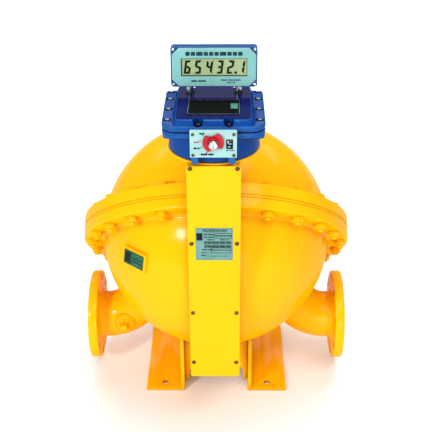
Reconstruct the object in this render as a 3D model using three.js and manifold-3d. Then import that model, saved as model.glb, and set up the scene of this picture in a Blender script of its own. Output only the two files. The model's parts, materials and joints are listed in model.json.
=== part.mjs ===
// A large spherical positive-displacement flow meter with flanged pipe nozzles, a shaft drive up its
// front and an electronic register on top. Millimetres, +Z up, front towards -Y, inlet at -X.
// Every piece is placed from the centre of the round case, which stands CASE_HEIGHT above the floor.
import * as THREE from 'three';
import { mergeVertices } from 'three/addons/utils/BufferGeometryUtils.js';
import Module from 'manifold-3d';

const wasm = await Module();
wasm.setup();

// Driving dimensions
const GAP = 0.4; // clearance between pieces that touch
const RUNNING = 1.2; // clearance round a turning shaft
const CASE_HEIGHT = 473; // floor to the centre of the case
const CASE_RADIUS = 345; // outside of the spherical case
const CASE_WALL = 12;
const CASE_SIDES = 36; // facets round the case
const CASE_CLEAR = CASE_RADIUS + 2; // what stands on the case is cut to this radius
const CASE_TILT = Math.PI / 4; // the parting plane rises towards the front
const RIM_RADIUS = 402; // outside of the two case flanges
const RIM_LOWER = 36; // thickness of the lower flange
const RIM_UPPER = 33; // thickness of the upper flange
const RIM_SPLIT = 1.5; // half the joint between the flanges
const RIM_BOLT_CIRCLE = 376;
const RIM_BOLTS = 24;
const BOLT_HEX = 16.5; // corner radius of the hexagon on a case bolt
const BOLT_SHANK = 9;

const FACE_TO_FACE = 802; // between the two pipe flange faces
const NOZZLE_DROP = 305; // nozzle axis below the case centre
const FLANGE_RADIUS = 139.7;
const FLANGE_THICK = 30;
const FLANGE_BOLT_CIRCLE = 120.65;
const FLANGE_BOLTS = 8;
const NOZZLE_RADIUS = 73;
const NOZZLE_BORE = 64;
const NOZZLE_BEND = 120; // bend radius of the nozzle's axis
const NOZZLE_BEND_START = 350; // distance from the middle where the bend begins
const NOZZLE_TURN = THREE.MathUtils.degToRad(43);

const FOOT_INNER = 100; // inside face of the foot's upright web
const FOOT_OUTER = 220;
const FOOT_LENGTH = 366;
const FOOT_PLATE = 9;
const FOOT_WEB = 10;

const COVER_WIDTH = 139; // drive cover
const COVER_FRONT = -378;
const COVER_SHEET = 3;
const COVER_BOTTOM = -259;
const COVER_TOP = 409;
const CHANNEL_HALF = 67; // half width of the housing behind the drive cover
const CHANNEL_SHEET = 4;
const DRIVE_Y = -360; // axis of the upright drive shaft, between the case and the drive cover

const REGISTER_Y = -252;
const REGISTER_RADIUS = 119;
const REGISTER_BASE = 414;
const ADAPTER_RADIUS = 122;
const ADAPTER_THICK = 6;
const REGISTER_WALL = 15;
const LID_WIDTH = 260;
const LID_DEPTH = 250;
const LID_Y = -253;
const LID_SEAT = 500; // joint between the register body and its lid
const LID_RIM_TOP = 516;
const LID_TOP = 530;
const LID_CORNER = 38;
const LID_BACK_CORNER = 14;
const PLATEAU_WIDTH = 200;
const PLATEAU_FRONT = -368;
const SWITCH_FACE = -397;
const SWITCH_Z = 479; // middle of the switch plate
const KNOB_Z = 484;
const KNOB_RADIUS = 26.5;

const DISPLAY_WIDTH = 224;
const DISPLAY_HEIGHT = 106;
const DISPLAY_DEPTH = 32;
const DISPLAY_Y = -205;
const DISPLAY_Z = 553.5;
const DISPLAY_TILT = THREE.MathUtils.degToRad(6);
const LCD_WIDTH = 170;
const LCD_HEIGHT = 46;
const LCD_RISE = 53; // middle of the window above the bottom of the display

const ROTOR_X = 112; // displacement rotors, left and right of the middle
const ROTOR_Z = -59.5;
const BLOCK_Z = -150; // blocking rotor, below and between them
const ROTOR_HUB = 82;
const ROTOR_TIP = 105;
const BLADE_WIDTH = 14;
const BLOCK_RADIUS = 60;
const SCALLOP_OFFSET = 54; // the pocket that lets a blade pass the blocking rotor
const SCALLOP_RADIUS = 19;
const SHAFT_RADIUS = 12;
const ELEMENT_HALF = 140; // half the length of the measuring chamber
const PLATE_THICK = 18;
const GEAR_BACK = -175;
const GEAR_FRONT = -195;
const GEAR_MODULE = 6;
const ROTOR_TEETH = 32;
const BLOCK_TEETH = 16;
const MITRE_TEETH = 12;
const MITRE_FAR = 11; // distance from the crossing of the axes to the big end of the teeth
const MITRE_NEAR = 6.5;
const DRIVE_RADIUS = 5.5; // shaft through the case wall
const UPRIGHT_RADIUS = 4.5; // upright shaft

// Where the whole assembly stands, so that its box is centred over the origin
const FRONT_REACH = 422; // front of the knob's lock
const CASE_Y = (FRONT_REACH - CASE_RADIUS) / 2;

// Solid helpers: each returns one closed geometry
function toSolid(geometry) {
  const bare = geometry.clone();
  bare.deleteAttribute('normal');
  bare.deleteAttribute('uv');
  const merged = mergeVertices(bare, 1e-3);
  const corners = merged.index.array;
  const triangles = [];
  for (let i = 0; i < corners.length; i += 3) {
    const [a, b, c] = corners.slice(i, i + 3);
    if (a !== b && b !== c && c !== a) triangles.push(a, b, c);
  }
  const vertProperties = new Float32Array(merged.attributes.position.array);
  const triVerts = new Uint32Array(triangles);
  return new wasm.Manifold(new wasm.Mesh({ numProp: 3, vertProperties, triVerts }));
}

function toGeometry(solid) {
  const { vertProperties, triVerts } = solid.getMesh();
  const geometry = new THREE.BufferGeometry();
  geometry.setAttribute('position', new THREE.BufferAttribute(vertProperties, 3));
  geometry.setIndex(new THREE.BufferAttribute(triVerts, 1));
  return geometry;
}

function join(...pieces) {
  return toGeometry(pieces.map(toSolid).reduce((whole, next) => whole.add(next)));
}

function cut(body, ...tools) {
  return toGeometry(tools.map(toSolid).reduce((whole, tool) => whole.subtract(tool), toSolid(body)));
}

function keepInside(body, limit) {
  return toGeometry(toSolid(body).intersect(toSolid(limit)));
}

// A block between two corners
function block(x0, x1, y0, y1, z0, z1) {
  const geometry = new THREE.BoxGeometry(x1 - x0, y1 - y0, z1 - z0);
  return geometry.translate((x0 + x1) / 2, (y0 + y1) / 2, (z0 + z1) / 2);
}

// A profile of [radius, height] pairs turned round the Z axis, outside going up
function turned(profile, segments, turn = 0) {
  const points = profile.map(([r, z]) => new THREE.Vector2(r, z));
  return new THREE.LatheGeometry(points, segments, turn).rotateX(Math.PI / 2);
}

function rodZ(radius, z0, z1, segments = 16) {
  return turned([[0, z0], [radius, z0], [radius, z1], [0, z1]], segments);
}

// A rod along Y, from y0 in front to y1 behind
function rodY(radius, y0, y1, segments = 16) {
  return rodZ(radius, -y1, -y0, segments).rotateX(Math.PI / 2);
}

// A flat outline in X and Y raised from z0 to z1
function raised(shape, z0, z1, curveSegments = 4) {
  const options = { depth: z1 - z0, bevelEnabled: false, curveSegments };
  return new THREE.ExtrudeGeometry(shape, options).translate(0, 0, z0);
}

// A flat outline in X and Z given thickness from y0 in front to y1 behind
function standing(shape, y0, y1, curveSegments = 4) {
  return raised(shape, -y1, -y0, curveSegments).rotateX(Math.PI / 2);
}

// A flat outline in Y and Z given thickness from x0 to x1
function sideways(shape, x0, x1) {
  return raised(shape, x0, x1).rotateZ(Math.PI / 2).rotateY(Math.PI / 2);
}

function outline(points) {
  return new THREE.Shape(points.map(([x, y]) => new THREE.Vector2(x, y)));
}

function roundedRectangle(width, height, radius, x = 0, y = 0) {
  const shape = new THREE.Shape();
  const right = x + width / 2 - radius;
  const left = x - width / 2 + radius;
  const top = y + height / 2 - radius;
  const bottom = y - height / 2 + radius;
  shape.absarc(right, top, radius, 0, Math.PI / 2);
  shape.absarc(left, top, radius, Math.PI / 2, Math.PI);
  shape.absarc(left, bottom, radius, Math.PI, 1.5 * Math.PI);
  shape.absarc(right, bottom, radius, 1.5 * Math.PI, 2 * Math.PI);
  return shape;
}

// Points on an arc round the origin of a profile, angles from the radius axis
function arc(radius, start, end, steps) {
  return Array.from({ length: steps + 1 }, (_, i) => {
    const angle = start + ((end - start) * i) / steps;
    return [radius * Math.cos(angle), radius * Math.sin(angle)];
  });
}

function mirrored(geometry) {
  const copy = geometry.clone().applyMatrix4(new THREE.Matrix4().makeScale(-1, 1, 1));
  const flipped = [];
  const index = copy.index.array;
  for (let i = 0; i < index.length; i += 3) flipped.push(index[i], index[i + 2], index[i + 1]);
  copy.setIndex(flipped);
  return copy;
}

// From the case's own axis, square to the parting plane, to the upright frame
const tilted = (geometry) => geometry.rotateX(-CASE_TILT);
const caseClearance = () => new THREE.SphereGeometry(CASE_CLEAR, 48, 24).rotateX(Math.PI / 2);

// Finishes
function finish(color, roughness, metalness = 0) {
  return new THREE.MeshStandardMaterial({ color, roughness, metalness });
}
const YELLOW = () => finish(0xfdd214, 0.45);
const BLUE = () => finish(0x2355aa, 0.45);
const STEEL = () => finish(0xb9bcc0, 0.3, 0.9);
const DARK_STEEL = () => finish(0x5a5d60, 0.4, 0.8);
const CASTING = () => finish(0x8f9296, 0.6, 0.6);
const BRONZE = () => finish(0xb08a4a, 0.4, 0.8);
const RUBBER = () => finish(0x20211f, 0.85);
const TEAL = () => finish(0x8cc8c3, 0.5);
const PLATE_TEAL = () => finish(0x82aaa5, 0.45, 0.3);
const TAG_GREEN = () => finish(0x1e503c, 0.5);
const LABEL_BLACK = () => finish(0x14181a, 0.3);
const MINT = () => finish(0xb9dcd2, 0.4, 0.3);
const RED = () => finish(0xe1192d, 0.35);
const LCD_GREEN = () => finish(0xb4c88c, 0.25);
const BOARD_GREEN = () => finish(0x1f6b3a, 0.6);
const PLASTIC = () => finish(0x2a2c2e, 0.55);

const assembly = new THREE.Group();
assembly.position.set(0, CASE_Y, CASE_HEIGHT);

function add(name, geometry, material) {
  const mesh = new THREE.Mesh(geometry, material);
  mesh.name = name;
  assembly.add(mesh);
}

// Case: two half shells with bolted flanges
const rimAngles = Array.from({ length: RIM_BOLTS }, (_, i) => ((i + 0.5) * 2 * Math.PI) / RIM_BOLTS);

function atRim(geometry, angle) {
  return geometry.translate(RIM_BOLT_CIRCLE, 0, 0).rotateZ(angle);
}

function rimHoles(z0, z1) {
  return rimAngles.map((angle) => atRim(rodZ(BOLT_SHANK + 3, z0, z1, 6), angle));
}

// Outline of the half shell above the parting plane; the other half is its mirror image
function halfShell(rimThick) {
  const rimTop = RIM_SPLIT + rimThick;
  const inner = CASE_RADIUS - CASE_WALL;
  const outerStart = Math.asin(rimTop / CASE_RADIUS);
  const innerStart = Math.asin(RIM_SPLIT / inner);
  return [
    ...arc(inner, Math.PI / 2, innerStart, 3),
    [RIM_RADIUS, RIM_SPLIT],
    [RIM_RADIUS, rimTop - 3],
    [RIM_RADIUS - 3, rimTop],
    ...arc(CASE_RADIUS, outerStart, Math.PI / 2, 7),
  ];
}

function nozzlePath(inward) {
  const bendCentre = NOZZLE_BEND - NOZZLE_DROP;
  const end = new THREE.Vector3(
    NOZZLE_BEND_START - NOZZLE_BEND * Math.sin(NOZZLE_TURN),
    0,
    bendCentre - NOZZLE_BEND * Math.cos(NOZZLE_TURN),
  );
  const corner = new THREE.Vector3(
    NOZZLE_BEND_START - NOZZLE_BEND * Math.tan(NOZZLE_TURN / 2), 0, -NOZZLE_DROP);
  const start = new THREE.Vector3(NOZZLE_BEND_START, 0, -NOZZLE_DROP);
  const face = new THREE.Vector3(FACE_TO_FACE / 2 - 2, 0, -NOZZLE_DROP);
  const away = new THREE.Vector3(-Math.cos(NOZZLE_TURN), 0, Math.sin(NOZZLE_TURN));
  const path = new THREE.CurvePath();
  path.add(new THREE.LineCurve3(face, start));
  path.add(new THREE.QuadraticBezierCurve3(start, corner, end));
  path.add(new THREE.LineCurve3(end, end.clone().addScaledVector(away, inward)));
  return path;
}

function alongNozzle(radius, inward) {
  const circle = new THREE.Shape();
  circle.absarc(0, 0, radius, 0, 2 * Math.PI);
  const options = { steps: 8, curveSegments: 9, bevelEnabled: false, extrudePath: nozzlePath(inward) };
  return new THREE.ExtrudeGeometry(circle, options);
}

// A turned piece laid along X at the nozzle's height, its far end at the flange face
function onNozzleAxis(geometry) {
  return geometry.rotateY(Math.PI / 2).translate(0, 0, -NOZZLE_DROP);
}

const boreWay = join(
  alongNozzle(NOZZLE_BORE, 110),
  onNozzleAxis(rodZ(NOZZLE_BORE, NOZZLE_BEND_START + 20, FACE_TO_FACE / 2 + 5, 18)),
);
const glandHole = rodY(24, -340, -240, 16).translate(0, 0, BLOCK_Z);

const upperShell = tilted(turned(halfShell(RIM_UPPER), CASE_SIDES));
const upperHoles = rimHoles(-5, RIM_UPPER + 20).map(tilted);
add('upper_cover', cut(upperShell, ...upperHoles), YELLOW());

const lowerShell = tilted(turned(halfShell(RIM_LOWER), CASE_SIDES).rotateX(Math.PI));
const lowerHoles = rimHoles(-RIM_LOWER - 20, 5).map(tilted);
add('lower_housing', cut(lowerShell, ...lowerHoles, boreWay, mirrored(boreWay), glandHole), YELLOW());

const sealHalf = RIM_SPLIT - GAP;
const sealProfile = [[342, -sealHalf], [362, -sealHalf], [362, sealHalf], [342, sealHalf], [342, -sealHalf]];
add('case_gasket', tilted(turned(sealProfile, CASE_SIDES)), RUBBER());

// One stud line: the bolts are held together by a thin band hidden in the joint outside the gasket
function caseBolt() {
  const nutTop = -RIM_SPLIT - RIM_LOWER - GAP;
  const headBottom = RIM_SPLIT + RIM_UPPER + GAP;
  const profile = [
    [0, nutTop - 22], [BOLT_HEX - 6, nutTop - 22], [BOLT_HEX, nutTop - 16], [BOLT_HEX, nutTop],
    [BOLT_SHANK, nutTop], [BOLT_SHANK, headBottom], [BOLT_HEX, headBottom],
    [BOLT_HEX, headBottom + 12], [0, headBottom + 12],
  ];
  return turned(profile, 6);
}
const boltBand = turned([[374, -0.9], [379, -0.9], [379, 0.9], [374, 0.9], [374, -0.9]], CASE_SIDES);
const caseBolts = join(boltBand, ...rimAngles.map((angle) => atRim(caseBolt(), angle)));
add('case_bolts', tilted(caseBolts), YELLOW());

// Nozzles: flange, fillet and a bend that runs up into the case
const flangeFace = FACE_TO_FACE / 2;
const flangeBack = flangeFace - FLANGE_THICK;
const flangeProfile = [
  [0, flangeBack - 22], [NOZZLE_RADIUS, flangeBack - 22], [NOZZLE_RADIUS + 4, flangeBack - 10],
  [NOZZLE_RADIUS + 16, flangeBack], [FLANGE_RADIUS - 2.5, flangeBack], [FLANGE_RADIUS, flangeBack + 2.5],
  [FLANGE_RADIUS, flangeFace - 4], [FLANGE_RADIUS - 2.5, flangeFace - 1.6], [108, flangeFace - 1.6],
  [108, flangeFace], [0, flangeFace],
];

function flangeHole(index) {
  const angle = ((index + 0.5) * 2 * Math.PI) / FLANGE_BOLTS;
  const y = FLANGE_BOLT_CIRCLE * Math.cos(angle);
  const z = FLANGE_BOLT_CIRCLE * Math.sin(angle);
  return onNozzleAxis(rodZ(11.1, flangeBack - 5, flangeFace + 5, 6)).translate(0, y, z);
}
const flangeHoles = Array.from({ length: FLANGE_BOLTS }, (_, index) => flangeHole(index));
const nozzleBody = join(alongNozzle(NOZZLE_RADIUS, 60), onNozzleAxis(turned(flangeProfile, 28)));
const outletNozzle = cut(nozzleBody, boreWay, ...flangeHoles, caseClearance());
add('outlet_nozzle', outletNozzle, YELLOW());

const PLUG_X = -290;
const PLUG_Z = -292;
const BOSS_FRONT = -86;
const boss = rodY(26, BOSS_FRONT + 4, -50, 20).translate(PLUG_X, 0, PLUG_Z);
const bossRing = rodY(21, BOSS_FRONT, -50, 20).translate(PLUG_X, 0, PLUG_Z);
const bossHole = rodY(15, BOSS_FRONT - 5, -30, 16).translate(PLUG_X, 0, PLUG_Z);
const inletNozzle = cut(
  join(mirrored(nozzleBody), boss, bossRing),
  mirrored(boreWay), ...flangeHoles.map(mirrored), bossHole, caseClearance());
add('inlet_nozzle', inletNozzle, YELLOW());

const plugBody = rodY(14.4, BOSS_FRONT - 4, -66, 16);
const plugHead = block(-9.5, 9.5, BOSS_FRONT - 18, BOSS_FRONT - 3, -9.5, 9.5);
add('inlet_plug', join(plugBody, plugHead).translate(PLUG_X, 0, PLUG_Z), YELLOW());

// Feet: an angle section each, its upright web cut to the round case
const floorZ = -CASE_HEIGHT;
function foot() {
  const half = FOOT_LENGTH / 2;
  const plate = block(FOOT_INNER, FOOT_OUTER, -half, half, floorZ, floorZ + FOOT_PLATE);
  const web = block(FOOT_INNER, FOOT_INNER + FOOT_WEB, -half, half, floorZ, -240);
  const hole = rodZ(10, floorZ - 5, floorZ + 20, 12).translate(162, 0, 0);
  const holes = [half - 30, 30 - half].map((y) => hole.clone().translate(0, y, 0));
  return cut(join(plate, web), ...holes, caseClearance());
}
add('right_foot', foot(), YELLOW());
add('left_foot', mirrored(foot()), YELLOW());

// Saddles: a cross plate between the two webs at each end
function saddle() {
  const edge = FOOT_INNER - GAP;
  const bottom = floorZ + 60;
  const shape = new THREE.Shape();
  shape.moveTo(-edge, -250);
  shape.lineTo(-edge, floorZ + 12);
  shape.lineTo(-edge + 14, floorZ + 12);
  shape.absarc(-edge + 34, bottom - 20, 20, Math.PI, Math.PI / 2, true);
  shape.absarc(edge - 34, bottom - 20, 20, Math.PI / 2, 0, true);
  shape.lineTo(edge - 14, floorZ + 12);
  shape.lineTo(edge, floorZ + 12);
  shape.lineTo(edge, -250);
  return shape;
}
const saddleY = 140;
add('front_saddle', cut(standing(saddle(), -saddleY, -saddleY + 10), caseClearance()), YELLOW());
add('rear_saddle', cut(standing(saddle(), saddleY - 10, saddleY), caseClearance()), YELLOW());

// Drive housing: a deep channel on the front of the case that carries the register
const channelFront = COVER_FRONT + COVER_SHEET + GAP;
const channelTop = REGISTER_BASE - ADAPTER_THICK - GAP;
const channelSide = outline([
  [channelFront, COVER_BOTTOM + 1], [-200, COVER_BOTTOM + 1], [-200, 250], [-140, 384],
  [-140, channelTop], [channelFront, channelTop],
]);
const channelInner = CHANNEL_HALF - CHANNEL_SHEET;
const channelFloor = COVER_BOTTOM + 1 + CHANNEL_SHEET;
const rimWay = tilted(rodZ(RIM_RADIUS + 4, -RIM_LOWER - 30, RIM_UPPER + 17, 48));
const channelShell = cut(
  sideways(channelSide, -CHANNEL_HALF, CHANNEL_HALF),
  block(-channelInner, channelInner, -500, 0, channelFloor, channelTop - CHANNEL_SHEET),
);
const lip = block(
  channelInner - 14, channelInner + 1, channelFront, channelFront + 3, COVER_BOTTOM + 2, channelTop - 1);
const wireWay = rodZ(8, channelTop - 20, REGISTER_BASE + 20, 12).translate(0, -320, 0);
const screwX = 60;
const screwHeights = [402, 183, -38, -208];
const screwPlaces = screwHeights.flatMap((z) => [[-screwX, z], [screwX, z]]);
const screwHoles = screwPlaces.map(([x, z]) => rodY(3.6, -400, -360, 8).translate(x, 0, z));
add('drive_housing', cut(
  join(channelShell, lip, mirrored(lip)), caseClearance(), rimWay, wireWay, ...screwHoles), YELLOW());

const coverHeight = COVER_TOP - COVER_BOTTOM;
const coverShape = roundedRectangle(COVER_WIDTH, coverHeight, 10, 0, (COVER_TOP + COVER_BOTTOM) / 2);
const driveCover = standing(coverShape, COVER_FRONT, COVER_FRONT + COVER_SHEET, 3);
add('drive_cover', cut(driveCover, ...screwHoles), YELLOW());

const screwProfile = [
  [0, -9], [3, -9], [3, GAP], [6, GAP], [6, 2], [4.5, 3.6], [0, 4],
];
screwPlaces.forEach(([x, z], index) => {
  const screw = turned(screwProfile, 8).rotateX(Math.PI / 2).translate(x, COVER_FRONT, z);
  add(`drive_cover_screw_${index + 1}`, screw, DARK_STEEL());
});

const namePlate = standing(roundedRectangle(98, 98, 2, 0, 182), COVER_FRONT - 1.6, COVER_FRONT - GAP, 1);
add('name_plate', namePlate, PLATE_TEAL());

// Tag on the left of the case, on a raised pad
const tagTurn = THREE.MathUtils.degToRad(-41);
const tagRise = THREE.MathUtils.degToRad(-10.2);
const onTag = (geometry) => geometry.rotateX(tagRise).rotateZ(tagTurn);
const tagPad = onTag(block(-45, 45, -353, -330, -28, 28));
add('tag_pad', cut(tagPad, caseClearance()), YELLOW());
add('serial_tag', onTag(block(-37.5, 37.5, -355, -353 - GAP, -21, 21)), TAG_GREEN());

// Register: round body with a square top, gasket, lid and its bolts
const adapter = rodZ(ADAPTER_RADIUS, REGISTER_BASE - ADAPTER_THICK, REGISTER_BASE, 36);
add('register_adapter', cut(adapter.translate(0, REGISTER_Y, 0), wireWay), YELLOW());

const bodyFloor = REGISTER_BASE + GAP;
const LID_BOLT_X = 116;
const LID_BOLT_Y = [-333, -263, -193, -141];

// The lid's outline has wide corners in front and tight ones behind
function lidOutline(inset) {
  const shape = new THREE.Shape();
  const side = LID_WIDTH / 2 - inset;
  const front = LID_Y - LID_DEPTH / 2 + inset;
  const back = LID_Y + LID_DEPTH / 2 - inset;
  const wide = LID_CORNER - inset;
  const tight = Math.max(LID_BACK_CORNER - inset, 3);
  shape.absarc(side - tight, back - tight, tight, 0, Math.PI / 2);
  shape.absarc(tight - side, back - tight, tight, Math.PI / 2, Math.PI);
  shape.absarc(wide - side, front + wide, wide, Math.PI, 1.5 * Math.PI);
  shape.absarc(side - wide, front + wide, wide, 1.5 * Math.PI, 2 * Math.PI);
  return shape;
}
const bodyRound = rodZ(REGISTER_RADIUS, bodyFloor, LID_SEAT - 8, 36).translate(0, REGISTER_Y, 0);
const bodyTop = raised(lidOutline(2), LID_SEAT - 10, LID_SEAT - 2.4, 4);
const cornerBoss = rodZ(13, LID_SEAT - 29, LID_SEAT - 5, 16).translate(LID_BOLT_X, LID_BOLT_Y[0], 0);
const switchBoss = block(-56, 56, SWITCH_FACE + 2.4, -340, 444, LID_SEAT - 5);
const bossUpper = block(-56, 56, SWITCH_FACE + 2.4, COVER_FRONT - 1.2, 444, 514);
const bossLug = block(37, 55, SWITCH_FACE + 4, -350, 421, 446);
const hollowRadius = REGISTER_RADIUS - REGISTER_WALL;
const hollow = rodZ(hollowRadius, bodyFloor + 8, LID_SEAT + 5, 28).translate(0, REGISTER_Y, 0);
const switchBore = rodY(6, -410, -340, 12).translate(0, 0, KNOB_Z);
const lidBoltPlaces = [
  ...[-1, 1].flatMap((side) => LID_BOLT_Y.map((y) => [side * LID_BOLT_X, y])),
  [-38, -363.5], [38, -363.5], [-60, -139], [60, -139],
];
const lidBoltHoles = lidBoltPlaces.map(([x, y]) => rodZ(4.5, LID_SEAT - 16, 540, 6).translate(x, y, 0));
add('register_body', cut(
  join(
    bodyRound, bodyTop, cornerBoss, mirrored(cornerBoss), switchBoss, bossUpper, bossLug,
    mirrored(bossLug)),
  hollow, wireWay, switchBore, ...lidBoltHoles), BLUE());

const gasketBand = cut(
  raised(lidOutline(18.5), LID_SEAT - 2, LID_SEAT - GAP, 3),
  raised(lidOutline(21.5), LID_SEAT - 5, LID_SEAT + 5, 3));
add('register_gasket', gasketBand, RUBBER());

const lidRim = raised(lidOutline(0), LID_SEAT, LID_RIM_TOP, 5);
const plateauBack = LID_Y + LID_DEPTH / 2 - 3;
const plateau = (inset, z0, z1) => raised(
  roundedRectangle(
    PLATEAU_WIDTH - 2 * inset, plateauBack - PLATEAU_FRONT - 2 * inset, 20 - inset,
    0, (plateauBack + PLATEAU_FRONT) / 2),
  z0, z1, 3);
const lidCavity = raised(roundedRectangle(176, 170, 18, 0, LID_Y), LID_SEAT - 5, LID_TOP - 8, 3);
const boltPockets = lidBoltPlaces.map(([x, y]) => rodZ(9, LID_RIM_TOP - 7, 540, 8).translate(x, y, 0));
add('register_cover', cut(
  join(lidRim, plateau(0, LID_SEAT + 2, LID_TOP - 5), plateau(4, LID_SEAT + 2, LID_TOP)),
  lidCavity, ...boltPockets, ...lidBoltHoles), BLUE());

// The lid's bolts are held together by a thin band in the joint, outside the gasket
const lidBolt = turned([
  [0, LID_SEAT - 15], [3.4, LID_SEAT - 15], [3.4, LID_RIM_TOP - 6.6], [6.5, LID_RIM_TOP - 6.6],
  [6.5, LID_RIM_TOP - 1], [0, LID_RIM_TOP - 1]], 6);
const lidBand = cut(
  raised(lidOutline(8), LID_SEAT - 2, LID_SEAT - GAP, 4),
  raised(lidOutline(16), LID_SEAT - 5, LID_SEAT + 5, 4));
const lidBolts = lidBoltPlaces.map(([x, y]) => lidBolt.clone().translate(x, y, 0));
add('register_cover_bolts', join(lidBand, ...lidBolts), STEEL());

add('cover_label', block(-67.5, 67.5, -336, -236, LID_TOP + GAP, LID_TOP + 2), LABEL_BLACK());

// Selector switch on the front of the register
const switchPlate = standing(
  roundedRectangle(116, 74, 2, 0, SWITCH_Z), SWITCH_FACE, SWITCH_FACE + 2, 1);
add('switch_plate', cut(switchPlate, switchBore.clone()), MINT());
add('rotary_switch', cut(
  block(-16, 16, -353, -338, KNOB_Z - 9, KNOB_Z + 9),
  rodY(4.4, -370, -330, 10).translate(0, 0, KNOB_Z)), PLASTIC());
add('switch_shaft', rodY(3.2, SWITCH_FACE + 1, -340, 10).translate(0, 0, KNOB_Z), STEEL());

const knobBody = turned([
  [0, 0.6], [KNOB_RADIUS, 0.6], [KNOB_RADIUS, 7], [KNOB_RADIUS - 1.5, 8], [0, 8]], 32);
const knobBoss = turned([[0, 0.6], [15, 0.6], [15, 15], [14, 16], [0, 16]], 24);
const fingerCut = (x, y, r) => rodZ(r, -5, 30, 32).translate(x, y, 0);
const knobDisc = cut(knobBody, fingerCut(-9, 44, 28), fingerCut(14, -52, 38));
const knobShape = cut(join(knobDisc, knobBoss), rodZ(12.4, 9, 30, 20), rodZ(4, -1, 10, 10));
const onSwitch = (geometry) => geometry.rotateX(Math.PI / 2).translate(0, SWITCH_FACE, KNOB_Z);
add('selector_knob', onSwitch(knobShape), RED());
const lockProfile = [[0, 9.4], [11.6, 9.4], [11.6, 23], [9.5, 25], [0, 25]];
const lockSlot = block(-1.6, 1.6, -6, 6, 22, 30);
add('knob_lock', onSwitch(cut(turned(lockProfile, 20), lockSlot)), STEEL());

// Display head on two posts
const POST_Y = DISPLAY_Y + 21;
const postProfile = [[0, LID_TOP + GAP], [9, LID_TOP + GAP], [9, DISPLAY_Z - 4], [0, DISPLAY_Z - 4]];
for (const [name, x] of [['display_post_left', -63], ['display_post_right', 63]]) {
  add(name, turned(postProfile, 16).translate(x, POST_Y, 0), STEEL());
}
const inDisplay = (geometry) => geometry.rotateX(-DISPLAY_TILT).translate(0, DISPLAY_Y, DISPLAY_Z);
const facePlate = (width, height, corner, rise) => outline([
  [width / 2 - corner, rise - height / 2], [width / 2, rise - height / 2 + corner],
  [width / 2, rise + height / 2 - corner], [width / 2 - corner, rise + height / 2],
  [corner - width / 2, rise + height / 2], [-width / 2, rise + height / 2 - corner],
  [-width / 2, rise - height / 2 + corner], [corner - width / 2, rise - height / 2],
]);
const displayMiddle = DISPLAY_HEIGHT / 2;
const displayShell = cut(
  standing(roundedRectangle(DISPLAY_WIDTH, DISPLAY_HEIGHT, 9, 0, displayMiddle), 0, DISPLAY_DEPTH, 3),
  block(-106, 106, -5, DISPLAY_DEPTH - 6, 5, DISPLAY_HEIGHT - 5));
add('display_housing', inDisplay(displayShell), BLUE());
const bezel = cut(
  standing(facePlate(218, 100, 18, displayMiddle), -4, -GAP),
  block(-LCD_WIDTH / 2, LCD_WIDTH / 2, -10, 10, LCD_RISE - LCD_HEIGHT / 2, LCD_RISE + LCD_HEIGHT / 2));
add('display_bezel', inDisplay(bezel), TEAL());
const lcd = block(
  -LCD_WIDTH / 2 - 6, LCD_WIDTH / 2 + 6, 0, 5, LCD_RISE - LCD_HEIGHT / 2 - 6, LCD_RISE + LCD_HEIGHT / 2 + 6);
add('lcd_panel', inDisplay(lcd), LCD_GREEN());

// Electronics inside the register
add('register_board', cut(
  block(-66, 66, -322, -190, 470, 472), rodZ(9, 460, 480, 10).translate(0, -306, 0)), BOARD_GREEN());

// Measuring element: chamber, two end plates, duct to the outlet
const rotorPlaces = [[-ROTOR_X, ROTOR_Z], [ROTOR_X, ROTOR_Z], [0, BLOCK_Z]];

function elementOutline(y0, y1) {
  const discs = rotorPlaces.map(([x, z], i) => rodY(i < 2 ? 119 : 74, y0, y1, 24).translate(x, 0, z));
  return join(block(-ROTOR_X, ROTOR_X, y0, y1, ROTOR_Z, ROTOR_Z + 119), ...discs);
}

function shaftBores(y0, y1) {
  return rotorPlaces.map(([x, z]) => rodY(SHAFT_RADIUS + RUNNING, y0, y1, 16).translate(x, 0, z));
}
const chambers = rotorPlaces.map(([x, z], i) => rodY(
  i < 2 ? ROTOR_TIP + 2 : BLOCK_RADIUS + 2, -ELEMENT_HALF - 5, ELEMENT_HALF + 5, 28).translate(x, 0, z));
const inletWindow = block(-260, -150, -100, 100, -110, -20);
const outletWindow = block(150, 260, -60, 60, -130, -60);
add('element_housing', cut(
  elementOutline(-ELEMENT_HALF, ELEMENT_HALF), ...chambers, inletWindow, outletWindow), CASTING());
const plateInner = ELEMENT_HALF + GAP;
const plateOuter = plateInner + PLATE_THICK;
add('front_bearing_plate', cut(
  elementOutline(-plateOuter, -plateInner), ...shaftBores(-200, -100)), CASTING());
add('rear_bearing_plate', cut(
  elementOutline(plateInner, plateOuter), ...shaftBores(100, 200)), CASTING());

const ductAxis = (geometry) => geometry.rotateY(Math.PI / 2 + NOZZLE_TURN);
const duct = ductAxis(cut(rodZ(58, 244, 311, 20), rodZ(52, 200, 400, 20)));
add('outlet_duct', duct, CASTING());

// Rotors: the angles are as seen from the front, counter-clockwise from +X
const towardsLeft = Math.atan2(ROTOR_Z - BLOCK_Z, -ROTOR_X);
const towardsRight = Math.atan2(ROTOR_Z - BLOCK_Z, ROTOR_X);
const handover = (towardsLeft - towardsRight) / 2;
const leftBlade = towardsLeft + Math.PI;
const rightBlade = towardsRight + Math.PI - handover;

const seen = (geometry, angle) => geometry.rotateY(-angle);
const runLength = ELEMENT_HALF - 1;

function displacementRotor(blade) {
  const hub = rodY(ROTOR_HUB, -runLength, runLength, 40);
  const across = block(-ROTOR_TIP, ROTOR_TIP, -runLength, runLength, -BLADE_WIDTH / 2, BLADE_WIDTH / 2);
  const blades = keepInside(across, rodY(ROTOR_TIP, -200, 200, 64));
  const shaft = rodY(SHAFT_RADIUS, GEAR_FRONT - 8, plateOuter, 16);
  return seen(join(hub, blades, shaft), blade);
}

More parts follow.
